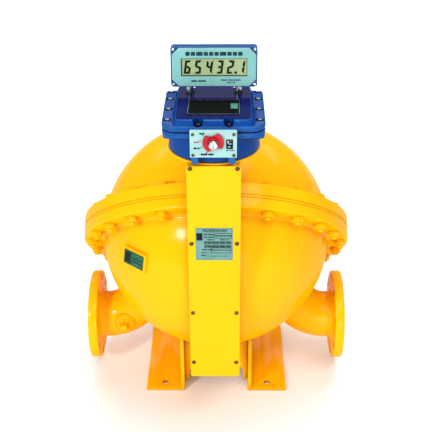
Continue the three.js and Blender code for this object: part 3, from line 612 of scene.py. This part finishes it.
# the pipe's flare into the case, by the distance past the bend's end and the radius there
CASE_FLARE = ((17, 73), (27, 73.2), (34, 74), (40, 76), (44, 79), (47, 83), (49, 88))
outer_section = (
    [(1.2, NOZZLE_BORE), (0, NOZZLE_BORE + 1.5), (0, 107), (1.6, 109)]
    + [(1.6, 136.5), (2.4, 138.6), (4.6, FLANGE_RADIUS)]
    + [(FLANGE_THICK - 3, FLANGE_RADIUS), (FLANGE_THICK - 0.9, 138.8), (FLANGE_THICK, 136.7)]
    + arc(FILLET, 180, 270, 8, (FLANGE_THICK + FILLET, NOZZLE_RADIUS + FILLET))
    + [(d, NOZZLE_RADIUS) for d in BEND_STEPS]
    + [(BEND_END + d, r) for d, r in CASE_FLARE]
    + [(BEND_END + 57, 88), (BEND_END + 57, NOZZLE_BORE)]
    + [(d, NOZZLE_BORE) for d in reversed(BEND_STEPS)]
)


def along_x(bm):
    """A shape on the Z axis laid along X at the height of the nozzles."""
    return moved(turned(bm, 90, "Y"), z=-NOZZLE_DROP)


def flange_hole(index):
    """A tool for one of the bolt holes, which straddle the pipe's upright centre line."""
    angle = math.radians(360 / FLANGE_BOLTS * (index + 0.5))
    hole = lathe([(0, 355), (FLANGE_HOLE, 355), (FLANGE_HOLE, 410), (0, 410)], 32)
    return moved(
        along_x(hole), 0, FLANGE_BOLT_CIRCLE * math.cos(angle), FLANGE_BOLT_CIRCLE * math.sin(angle))


flange_holes = [flange_hole(i) for i in range(FLANGE_BOLTS)]
outlet = carved(nozzle_sweep(outer_section, closed=True), *flange_holes)
inlet = mirrored(outlet)
piece("outlet_pipe", outlet, case_paint, replaces=["outlet_nozzle"])

PLUG_X = -290
PLUG_Z = -292
plug_boss_profile = rounded(
    [(0, 40), (34, 40), (34, 74), (27, 80), (25, 83), (21.5, 83), (21.5, 86), (15, 86), (15, 66), (0, 66)],
    [0, 0, 6, 4, 1, 0.6, 1, 0.8, 0, 0], 4, closed=False)
plug_boss = moved(facing_front(lathe(plug_boss_profile, 64)), PLUG_X, 0, PLUG_Z)
piece("inlet_pipe", gathered(inlet, plug_boss), case_paint, replaces=["inlet_nozzle"])
plug_round = lathe([(0, 66), (14.4, 66), (14.4, 88), (13, 90), (0, 90)], 40)
plug_square = soft_slab(rounded(rectangle(18.5, 18.5), 2), 89, 104, 1.2)
plug = facing_front(turned(gathered(plug_round, plug_square), 12, "Z"))
piece("pipe_plug", moved(plug, PLUG_X, 0, PLUG_Z), bolt_paint, replaces=["inlet_plug"])

# ---------------------------------------------------------------- feet, drive channel and its cover
for node in ("left_foot", "right_foot", "front_saddle", "rear_saddle"):
    piece(node + "_plates", from_cad(node, 1.6), sheet_paint, replaces=[node])
channel = from_cad("drive_housing", 0.8)
piece("drive_channel", channel, sheet_paint, replaces=["drive_housing"])

COVER_FRONT = -378
COVER_WIDTH = 139
COVER_LOW = -259
COVER_HIGH = 409
COVER_SCREW_X = 60
COVER_SCREW_ROWS = (402, 183, -38, -208)


def front_slab(outline, back, front, soft=0.0):
    """An outline in X and Z with its front and back at the given Y."""
    upright = soft_slab(outline, -back, -front, soft, 3) if soft else slab(outline, -back, -front)
    return facing_front(upright)


cover_shape = rectangle(COVER_WIDTH, COVER_HIGH - COVER_LOW, 0, (COVER_HIGH + COVER_LOW) / 2)
cover = front_slab(rounded(cover_shape, 9, 6), COVER_FRONT + 3, COVER_FRONT, 1.0)
piece("cover_sheet", cover, sheet_paint, replaces=["drive_cover"])


def cross_screw(radius, height):
    """A domed screw head with a cross cut in it, standing on z = 0."""
    angles = [math.radians(a) for a in range(10, 91, 10)]
    dome = [(radius * math.cos(a), height * math.sin(a)) for a in angles]
    head = lathe([(0, 0), (radius, 0)] + dome, 40)
    depth, arm = height * 0.45, radius * 0.62
    bar = block(-arm, arm, -radius * 0.12, radius * 0.12, height - depth, height + 1)
    return carved(head, bar, turned(bar.copy(), 90, "Z"))


screw = cross_screw(6.2, 4.0)
screw_places = [(side * COVER_SCREW_X, z) for z in COVER_SCREW_ROWS for side in (-1, 1)]
screws = []
for index, (x, z) in enumerate(screw_places):
    turned_screw = turned(screw.copy(), 23 * index, "Z")
    screws.append(moved(facing_front(turned_screw), x, COVER_FRONT, z))
screw_nodes = [f"drive_cover_screw_{i}" for i in range(1, 9)]
piece("cover_screws", gathered(*screws), screw_steel, replaces=screw_nodes)

# ---------------------------------------------------------------- plates
def dashes(x, z, width, height, share=(3, 2, 4)):
    """Outlines of a row of short bars that stands for a line of small print."""
    total = sum(share) + 0.5 * (len(share) - 1)
    unit = width / total
    result = []
    left = x - width / 2
    for part in share:
        result.append(rectangle(part * unit, height, left + part * unit / 2, z))
        left += (part + 0.5) * unit
    return result


def frame_lines(width, height, x, z, line):
    """Outlines of the four sides of a thin rectangle."""
    return [
        rectangle(width, line, x, z + height / 2), rectangle(width, line, x, z - height / 2),
        rectangle(line, height, x - width / 2, z), rectangle(line, height, x + width / 2, z)]


def printed(outlines, front, thick=0.25):
    """Thin flat shapes that stand for ink, with their fronts at the given Y."""
    return gathered(*[front_slab(outline, front + thick, front) for outline in outlines])


PLATE_FRONT = COVER_FRONT - 1.6
PLATE_SIZE = 98
PLATE_Z = 182
plate_outline = rounded(rectangle(PLATE_SIZE, PLATE_SIZE, 0, PLATE_Z), 3)
plate = front_slab(plate_outline, COVER_FRONT - 0.4, PLATE_FRONT, 0.4)
piece("rating_plate", plate, plate_teal, replaces=["name_plate"])

ink = [rectangle(16, 22, -38.5, PLATE_Z + 23)]
ink += dashes(2, PLATE_Z + 43.5, 66, 3.2, (5, 7, 4, 6)) + dashes(2, PLATE_Z + 38.5, 60, 2.0, (4, 3, 6, 5))
for z in (30, 22):
    ink += dashes(-15, PLATE_Z + z, 24, 3.0, (3, 4)) + frame_lines(46, 6, 22, PLATE_Z + z, 1.5)
ink += dashes(-9, PLATE_Z + 14, 18, 2.8, (5, 1)) + dashes(27, PLATE_Z + 14, 22, 2.8, (4, 2))
for z in (5, -6):
    for x, width in ((-11, 26), (24, 38)):
        ink += dashes(x, PLATE_Z + z, width, 3.6, (2, 4, 3))
        ink += frame_lines(width + 3, 7, x, PLATE_Z + z, 1.3)
ink += dashes(-19, PLATE_Z - 16, 26, 2.6, (4, 3)) + frame_lines(52, 6, 18, PLATE_Z - 14, 1.5)
ink += frame_lines(52, 8, 18, PLATE_Z - 22, 1.5) + dashes(-27, PLATE_Z - 26, 12, 2.6, (2, 1))
ink += dashes(-28, PLATE_Z - 34, 12, 3.0, (3, 1)) + dashes(14, PLATE_Z - 36, 50, 1.4, (4, 2, 5))
piece("rating_plate_print", printed(ink, PLATE_FRONT - 0.15), plate_ink)
rivet = lathe([(0, 0), (2.6, 0), (2.4, 0.8), (1.4, 1.4), (0, 1.6)], 24)
rivets = [
    moved(facing_front(rivet.copy()), x, PLATE_FRONT, PLATE_Z + z)
    for x in (-44.5, 44.5) for z in (-45.5, 45.5)]
piece("rating_plate_rivets", gathered(*rivets), plate_teal)

TAG_TURN = -41  # degrees round the case from its front
TAG_RISE = -10.2
TAG_FRONT = -355


def on_tag(bm):
    """From the front of the case to the tag's place on its left."""
    return turned(turned(bm, TAG_RISE, "X"), TAG_TURN, "Z")


pad = front_slab(rounded(rectangle(90, 56), 6, 6), -330, -353, 2.0)
pad_fillet = front_slab(rounded(rectangle(95, 61), 9, 6), -328, -344, 3.0)
piece("tag_mount", on_tag(gathered(pad, pad_fillet)), case_paint, replaces=["tag_pad"])
tag = front_slab(rounded(rectangle(75, 42), 2), -353.2, TAG_FRONT, 0.4)
piece("serial_tag_plate", on_tag(tag), tag_green, replaces=["serial_tag"])
pale = dashes(13, 15.5, 42, 2.6, (3, 4, 2)) + dashes(13, 10, 42, 1.8, (5, 2, 4))
pale += frame_lines(42, 6.5, 13, 3.2, 0.9) + frame_lines(42, 6.5, 13, -5, 0.9)
pale += dashes(13, -12, 42, 2.2, (2, 5, 3)) + dashes(13, -16.5, 42, 1.6, (4, 3, 3))
pale += frame_lines(71, 38, 0, 0, 0.8)
piece("serial_tag_lines", on_tag(printed(pale, TAG_FRONT - 0.2)), tag_pale)
tag_box = printed([rectangle(15, 24, -24, 1)], TAG_FRONT - 0.25)
piece("serial_tag_box", on_tag(tag_box), tag_ink)

# ---------------------------------------------------------------- register body
REGISTER_Y = -252  # the axis of the round body
REGISTER_RADIUS = 119
REGISTER_BORE = 100
REGISTER_LOW = 414.4
REGISTER_FLOOR = 424
REGISTER_TOP = 489
LID_Y = -253  # the middle of the lid
LID_WIDTH = 260
LID_DEPTH = 250
LID_BOLT_X = 116
LID_FRONT_BOLT_Y = -363.5
SWITCH_FACE = -397  # the front of the switch plate
KNOB_Z = 484
SHAFT_HOLE = 4


def shaft_hole():
    """A tool for the hole that the selector's shaft turns in, through the plate and its boss."""
    hole = lathe([(0, -75), (SHAFT_HOLE, -75), (SHAFT_HOLE, 5), (0, 5)], 32)
    return moved(facing_front(hole), 0, SWITCH_FACE, KNOB_Z)


ring_profile = rounded([(0, 408), (122, 408), (122, 414), (0, 414)], [0, 1, 2.5, 0], 4, closed=False)
piece(
    "register_base_ring", moved(lathe(ring_profile, 128), y=REGISTER_Y), case_paint,
    replaces=["register_adapter"])


def lid_outline(margin):
    """The lid's outline drawn in by a margin, with wide corners in front and tight ones behind."""
    half, tall = LID_WIDTH / 2 - margin, LID_DEPTH / 2 - margin
    front, back = 38 - margin, max(14 - margin, 3)
    points = []
    for x, y, radius, start in (
            (half - back, tall - back, back, 0), (back - half, tall - back, back, 90),
            (front - half, front - tall, front, 180), (half - front, front - tall, front, 270)):
        points += arc(radius, start, start + 90, 8, (x, LID_Y + y))
    return points


body_profile = rounded(
    [(0, REGISTER_LOW), (REGISTER_RADIUS, REGISTER_LOW), (REGISTER_RADIUS, 474), (124, REGISTER_TOP),
     (REGISTER_BORE, REGISTER_TOP), (REGISTER_BORE, REGISTER_FLOOR), (0, REGISTER_FLOOR)],
    [0, 2, 14, 2, 0, 0, 0], 6, closed=False)
body_round = moved(lathe(body_profile, 128), y=REGISTER_Y)
body_hollow = lathe([(0, 470), (REGISTER_BORE, 470), (REGISTER_BORE, 500), (0, 500)], 64)
body_flange = carved(soft_slab(lid_outline(1.5), 484, 497.6, 2.5), moved(body_hollow, y=REGISTER_Y))
corner = lathe(rounded([(0, 468), (12.5, 468), (14.5, 492), (0, 492)], [0, 4, 0, 0], 4, closed=False), 40)
corners = [moved(corner.copy(), side * LID_BOLT_X, y) for side in (-1, 1) for y in (-333, -152)]
BOSS_HALF = 56  # the switch boss: half its width, its front and its foot
BOSS_FRONT = -394.6
BOSS_LOW = 446
switch_boss = softened(block(-BOSS_HALF, BOSS_HALF, BOSS_FRONT, -345, BOSS_LOW, 496), 2, 3)
upper_boss = softened(block(-BOSS_HALF, BOSS_HALF, BOSS_FRONT, -379.2, BOSS_LOW, 513.6), 2, 3)
body_round, body_flange, switch_boss, upper_boss = (
    carved(part, shaft_hole()) for part in (body_round, body_flange, switch_boss, upper_boss))
lug = softened(block(37, 55, -392, -350, 421, 450), 3, 3)
register_case = gathered(body_round, body_flange, *corners, switch_boss, upper_boss, lug, mirrored(lug))
piece("register_case", register_case, register_paint, replaces=["register_body"])

# ---------------------------------------------------------------- register lid
bolt_places = [(side * LID_BOLT_X, y) for side in (-1, 1) for y in (-333, -263, -193, -141)]
bolt_places += [(-38, LID_FRONT_BOLT_Y), (38, LID_FRONT_BOLT_Y), (-60, -139), (60, -139)]
LID_TOP = 530
ABOVE_LID = 545  # where the tools that cut the lid end
rim = soft_slab(lid_outline(0), 500, 516, 5)
plateau_low = rounded(rectangle(212, 248.5, 0, -253.2), 24, 8)
plateau_high = rounded(rectangle(192, 234, 0, -250), 14, 8)
plateau_top = inset(plateau_high, 1.6)
plateau = loft([
    (plateau_low, 508), (plateau_high, 528.4), (inset(plateau_high, 0.5), 529.5), (plateau_top, LID_TOP)])


def pocket(low, radius, flare, place):
    """A tool that opens the lid over one of its bolts."""
    tool = lathe([(0, low), (radius, low), (radius + flare, ABOVE_LID), (0, ABOVE_LID)], 40)
    return moved(tool, *place)


pockets = [pocket(509, 13 if place[1] == LID_FRONT_BOLT_Y else 10, 1.5, place) for place in bolt_places]
lid = carved(united(rim, plateau), *pockets)
piece("register_lid", lid, register_paint, replaces=["register_cover"])
# A thin slab on the lid's top that carries the darker purple: painted shade and reflection.
panel_pockets = [pocket(500, 14.2, 0, place) for place in bolt_places]
panel = carved(slab(plateau_top, 529, LID_TOP + 0.1), *panel_pockets)
piece("register_lid_shaded_top", panel, plateau_shade_paint)

lid_washer = lathe([(0, 508), (8.4, 508), (8.4, 509.8), (0, 509.8)], 32)
lid_bolt = gathered(hex_head(6.4, 509.2, 517.6), lid_washer)
lid_bolts = [moved(turned(lid_bolt.copy(), 17 * i, "Z"), x, y) for i, (x, y) in enumerate(bolt_places)]
piece("lid_bolts", gathered(*lid_bolts), bolt_steel, replaces=["register_cover_bolts"])

LABEL_Y = -286
LABEL_FACE = 531.5  # what lies on the label starts here, just inside it
LABEL_ROWS = 6
label_plate = soft_slab(rounded(rectangle(132.5, 98, 0, LABEL_Y), 2), 530.4, 531.6, 0.3)
piece("lid_label", label_plate, label_black, replaces=["cover_label"])
border = [slab(line, LABEL_FACE, 532) for line in frame_lines(129.5, 95, 0, LABEL_Y, 1.6)]
piece("lid_label_border", gathered(*border), steel)
square = slab(rectangle(18, 34, 52, -281), LABEL_FACE, 531.9)
piece("lid_label_window", square, label_green)
rows = []
for row in range(LABEL_ROWS):
    bars = dashes(-12, -252 - 13 * row, 88, 2.2, (4, 6, 3, 5))
    rows += [slab(bar, LABEL_FACE, 531.8) for bar in bars]
piece("lid_label_print", gathered(*rows), digit_black)

# ---------------------------------------------------------------- selector switch
SWITCH_Z = 479  # middle of the switch plate
switch_outline = rounded(rectangle(116, 74, 0, SWITCH_Z), 2.5)
switch_plate = carved(front_slab(switch_outline, SWITCH_FACE + 2, SWITCH_FACE, 0.5), shaft_hole())
piece("selector_plate", switch_plate, switch_mint, replaces=["switch_plate"])


def tick(angle):
    """A short line beside the knob that points at its axis."""
    turn = math.radians(angle)
    return [
        (x * math.cos(turn) - z * math.sin(turn), x * math.sin(turn) + z * math.cos(turn) + KNOB_Z)
        for x, z in rectangle(7, 1.5, 32.5, 0)]


marks = [tick(angle) for angle in (145, 175, 207, 240)]
marks += dashes(-28, SWITCH_Z + 27.5, 12, 4.6, (2, 2)) + dashes(-41.5, SWITCH_Z - 12, 15, 4.6, (3, 2))
marks += dashes(-15.5, SWITCH_Z - 28.5, 32, 4.6, (4, 3)) + [rectangle(17, 26, 40, SWITCH_Z - 1)]
marks += dashes(41.5, SWITCH_Z - 17.5, 21, 2.4, (2, 3))
piece("selector_plate_print", printed(marks, SWITCH_FACE - 0.15), digit_black)
red_marks = dashes(-41.5, SWITCH_Z + 4.5, 13, 4, (3, 2)) + [rectangle(5, 4, 42.5, SWITCH_Z + 7)]
piece("selector_plate_red_print", printed(red_marks, SWITCH_FACE - 0.3), mark_red)
pale_marks = [
    rectangle(3, 7, 36.5, SWITCH_Z + 5), rectangle(7, 2.4, 41, SWITCH_Z),
    rectangle(6, 2.6, 39, SWITCH_Z - 8)]
piece("selector_plate_pale_print", printed(pale_marks, SWITCH_FACE - 0.3), switch_mint)
plate_screw = cross_screw(4.4, 2.4)
plate_screws = []
for x, z, angle in ((-50.5, -31, 0), (-50.5, 25, 17), (50.5, -31, 31), (50.5, 25, 48)):
    turned_screw = turned(plate_screw.copy(), angle, "Z")
    plate_screws.append(moved(facing_front(turned_screw), x, SWITCH_FACE, SWITCH_Z + z))
piece("selector_plate_screws", gathered(*plate_screws), screw_steel)

# The knob and its lock are drawn with their axis along Z, standing on the plate at z = 0
KNOB_RADIUS = 26.5
KNOB_LOW = 0.6
KNOB_HIGH = 7.9
KNOB_BOSS = 14.9
KNOB_BOSS_HIGH = 15.9
ABOVE_KNOB = 30  # where the tools that cut the knob and its lock end
disc_profile = rounded(
    [(0, KNOB_LOW), (KNOB_RADIUS, KNOB_LOW), (KNOB_RADIUS, KNOB_HIGH), (19, KNOB_HIGH), (0, KNOB_HIGH)],
    [0, 1, 1.6, 0, 0], 4, closed=False)
finger_cuts = [
    moved(lathe([(0, -2), (radius, -2), (radius, ABOVE_KNOB), (0, ABOVE_KNOB)], 96), x, y)
    for x, y, radius in ((-9, 44, 28), (14, -52, 38))]
boss_profile = rounded(
    [(0, KNOB_LOW), (KNOB_BOSS, KNOB_LOW), (KNOB_BOSS, KNOB_BOSS_HIGH), (0, KNOB_BOSS_HIGH)],
    [0, 0, 1.6, 0], 4, closed=False)
socket = lathe([(0, 9), (12.4, 9), (12.4, ABOVE_KNOB), (0, ABOVE_KNOB)], 48)
disc = softened(carved(lathe(disc_profile, 96), *finger_cuts), 0.8, 2, 45)
knob = carved(united(disc, lathe(boss_profile, 72)), socket)


def on_switch(bm):
    """From the knob's own axis to its place on the switch plate."""
    return moved(facing_front(bm), 0, SWITCH_FACE, KNOB_Z)


piece("knob_grip", on_switch(knob), knob_red, "selector", replaces=["selector_knob"])
lock_profile = rounded(
    [(0, 9.4), (11.6, 9.4), (11.6, 22.5), (9.2, 25), (0, 25)], [0, 0, 1.5, 1.5, 0], 4, closed=False)
key_slot = block(-1.2, 1.2, -6, 6, 22, ABOVE_KNOB)
lock = softened(carved(lathe(lock_profile, 64), key_slot), 0.3, 1, 60)
piece("knob_lock_barrel", on_switch(lock), steel, "selector", replaces=["knob_lock"])

# ---------------------------------------------------------------- display head
DISPLAY_Y = -205
DISPLAY_Z = 553.5
DISPLAY_TILT = -6
DISPLAY_RISE = 53  # from the display's foot to its middle
POST_X = 63
POST_Y = DISPLAY_Y + 21


def in_display(bm):
    """From the foot of an upright display to its place, tilted back."""
    return moved(turned(bm, DISPLAY_TILT, "X"), 0, DISPLAY_Y, DISPLAY_Z)


post_top = DISPLAY_Z - 2.5
post_profile = rounded(
    [(0, 530.4), (9, 530.4), (9, post_top), (0, post_top)], [0, 0.6, 0.8, 0], 3, closed=False)
# Painted shade: a dark rubber ring round each post's foot, where the shade of the recess that it stands in
# shows.
post_shade_ring_profile = rounded([(8.8, 530.2), (12.5, 530.2), (12, 532.6), (8.8, 532.6)], [0, 0.3, 0.8, 0.3], 3)
for side, x in (("left", -POST_X), ("right", POST_X)):
    post = moved(lathe(post_profile, 48), x, POST_Y)
    piece(f"{side}_post_shade_ring", moved(lathe(post_shade_ring_profile, 48), x, POST_Y), rubber)
    piece(f"{side}_post", post, post_steel, replaces=[f"display_post_{side}"])
housing = front_slab(rounded(rectangle(224, 106, 0, DISPLAY_RISE), 9, 8), 32, 0, 2.5)
back_ribs = [softened(block(x - 2, x + 2, 31, 33.5, 12, 94), 0.8) for x in (-80, -40, 0, 40, 80)]
piece(
    "display_case", in_display(gathered(housing, *back_ribs)), display_blue,
    replaces=["display_housing"])


def octagon(width, height, corner):
    """A rectangle round the middle of the display with its corners cut off."""
    half, tall = width / 2, height / 2
    low, high = DISPLAY_RISE - tall, DISPLAY_RISE + tall
    return [
        (half - corner, low), (half, low + corner), (half, high - corner), (half - corner, high),
        (corner - half, high), (-half, high - corner), (-half, low + corner), (corner - half, low)]


def front_box(left, right, below, above, front=-10, back=10):
    """A box given by its outline from the front, with heights from the display's middle."""
    return block(left, right, front, back, DISPLAY_RISE - below, DISPLAY_RISE + above)


bezel = carved(front_slab(octagon(214, 97, 17), 0.5, -3.6, 0.7), front_box(-85, 85, 23, 23))
piece("display_panel", in_display(bezel), teal_panel, replaces=["display_bezel"])
# Painted highlight: a lighter rim round the teal panel for the light that its bevelled edge catches.
ring_hole = front_slab(octagon(212, 95, 16.5), 4, -6)
ring = carved(front_slab(octagon(216.5, 99.5, 18), 0.5, -2.6, 0.5), ring_hole)
piece("display_panel_lit_rim", in_display(ring), switch_mint)
glass = front_box(-86, 86, 24, 24, -1, 3)
piece("display_glass", in_display(glass), lcd_glass, replaces=["lcd_panel"])
# A black frame round the window, wider at its left and bottom: part dark frame, part painted shadow of the
# window's recess.
window_shadow_frame = front_slab(rectangle(170.5, 46.5, 0, DISPLAY_RISE), -0.9, -3.9, 0.2)
window_shadow_frame = carved(window_shadow_frame, front_box(-82.8, 84.4, 21.2, 22.4))
piece("display_window_shadow_frame", in_display(window_shadow_frame), black_plastic)

# The bars that each digit shows. Their letters: a top, b upper right, c lower right, d bottom,
# e lower left, f upper left, g middle
SEGMENTS = {"1": "bc", "2": "abged", "3": "abgcd", "4": "fgbc", "5": "afgcd", "6": "afgedc"}
DIGIT_WIDTH = 16.6
DIGIT_HEIGHT = 35
DIGIT_SLANT = 0.13
DIGIT_PLACES = (-68, -41, -12, 15, 42.5, 70.5)
BAR = 5.8


def digit_bars(digit, x):
    """Outlines of the bars of a slanted digit whose middle is at x."""
    half, tall, gap = DIGIT_WIDTH / 2, DIGIT_HEIGHT / 2, 0.3
    top = [
        (gap - half, tall), (half - gap, tall), (half - BAR - gap, tall - BAR),
        (BAR + gap - half, tall - BAR)]
    side = [
        (half, tall - gap), (half, gap), (half - BAR / 2, gap), (half - BAR, BAR / 2 + gap),
        (half - BAR, tall - BAR - gap)]
    middle = [
        (BAR / 2 - half, 0), (BAR - half, BAR / 2), (half - BAR, BAR / 2), (half - BAR / 2, 0),
        (half - BAR, -BAR / 2), (BAR - half, -BAR / 2)]
    # each bar's outline, and whether it is turned over across or upwards
    bars = {
        "a": (top, 1, 1), "b": (side, 1, 1), "c": (side, 1, -1), "d": (top, 1, -1),
        "e": (side, -1, -1), "f": (side, -1, 1), "g": (middle, 1, 1)}
    result = []
    for name in SEGMENTS[digit]:
        bar, across, up = bars[name]
        result.append([
            (x + across * u + DIGIT_SLANT * up * v, DISPLAY_RISE + up * v) for u, v in bar])
    return result


digits = []
for digit, x in zip("654321", DIGIT_PLACES):
    digits += digit_bars(digit, x)
digits.append(rectangle(6.2, 6.2, 56, DISPLAY_RISE - 14.4))  # the decimal point
piece("display_digits", in_display(printed(digits, -1.4, 0.3)), digit_black)
small_print = dashes(-40, 17, 38, 4, (3, 4)) + dashes(43, 19.5, 52, 3, (4, 3, 4))
small_print += dashes(44, 13.5, 22, 2.6, (3, 2))
small_print += dashes(0, 88, 146, 10, (2, 2, 3, 2, 2, 2, 3, 2, 2, 2))
piece("display_print", in_display(printed(small_print, -3.8, 0.3)), print_teal)
corner_screw = cross_screw(4.2, 2.6)
corner_screws = [
    moved(facing_front(turned(corner_screw.copy(), 11 * x + 5 * z, "Z")), x, -0.1, z)
    for x in (-105, 105) for z in (7.5, 98.5)]
piece("display_screws", in_display(gathered(*corner_screws)), post_steel)

# ---------------------------------------------------------------- CAD parts that show as they are
CAD_FINISH = {
    "case_paint": case_paint, "sheet_paint": sheet_paint, "bolt_paint": bolt_paint,
    "register_paint": register_paint, "display_paint": teal_panel, "bright_steel": steel,
    "dark_steel": screw_steel, "casting": casting, "bronze": bronze, "rubber": rubber,
    "plate_print": plate_teal, "tag_print": tag_green, "label_print": label_black,
    "switch_print": switch_mint, "knob_red": knob_red, "lcd": lcd_glass, "board": board_green,
    "black_plastic": black_plastic,
}
for subpart in frame["record"]["subparts"]:
    mesh = frame["nodes"][subpart["node"]].data
    mesh.materials.clear()
    mesh.materials.append(CAD_FINISH[subpart["material_slot"]])

# ---------------------------------------------------------------- floor and light
floor_finish = Finish("floor", specular=0.2)
floor_tone = floor_finish.mixed(floor_finish.noise(1.5, 3), linear(246, 251, 255), linear(243, 248, 253))
floor_finish.bump(floor_finish.noise(90, 3), 0.04, 0.0005)
floor_finish.done(floor_tone, floor_finish.ranged(floor_finish.noise(12, 3), 0.6, 0.75))
FLOOR_SIZE = 30
floor_mesh = bmesh.new()
bmesh.ops.create_grid(floor_mesh, x_segments=8, y_segments=8, size=FLOOR_SIZE)
floor_data = bpy.data.meshes.new("floor")
floor_mesh.to_mesh(floor_data)
floor_mesh.free()
floor_data.materials.append(floor_finish.material)
floor = bpy.data.objects.new("floor", floor_data)
floor.location = (0, 0, -0.0005)  # half a millimetre under the feet
bpy.context.scene.collection.objects.link(floor)

world = bpy.data.worlds.new("studio")
world.use_nodes = True
background = world.node_tree.nodes["Background"]
background.inputs["Color"].default_value = (1.0, 1.0, 1.0, 1)
background.inputs["Strength"].default_value = 0.37
bpy.context.scene.world = world


def softbox(name, place, target, size, power):
    """A rectangular light that shines from its place towards the target, in metres and watts."""
    light = bpy.data.lights.new(name, "AREA")
    light.shape = "RECTANGLE"
    light.size, light.size_y = size
    light.energy = power
    obj = bpy.data.objects.new(name, light)
    obj.location = place
    aim = Vector(target) - Vector(place)
    obj.rotation_euler = aim.to_track_quat("-Z", "Y").to_euler()
    bpy.context.scene.collection.objects.link(obj)


softbox("key", (-2.5, -3.4, 2.3), CENTRE, (0.6, 0.6), 104)
softbox("fill", (0.8, -3.5, 0.4), CENTRE, (1.6, 1.2), 40)
softbox("apron", (0.5, -1.9, 2.9), (0.2, -1.5, 0), (3.0, 0.8), 45)
softbox("top", (0.3, 0.9, 4.2), CENTRE, (3.0, 2.0), 85)
softbox("backdrop", (0, 3.9, 3.2), (0, 3.9, 0), (7.0, 2.5), 190)
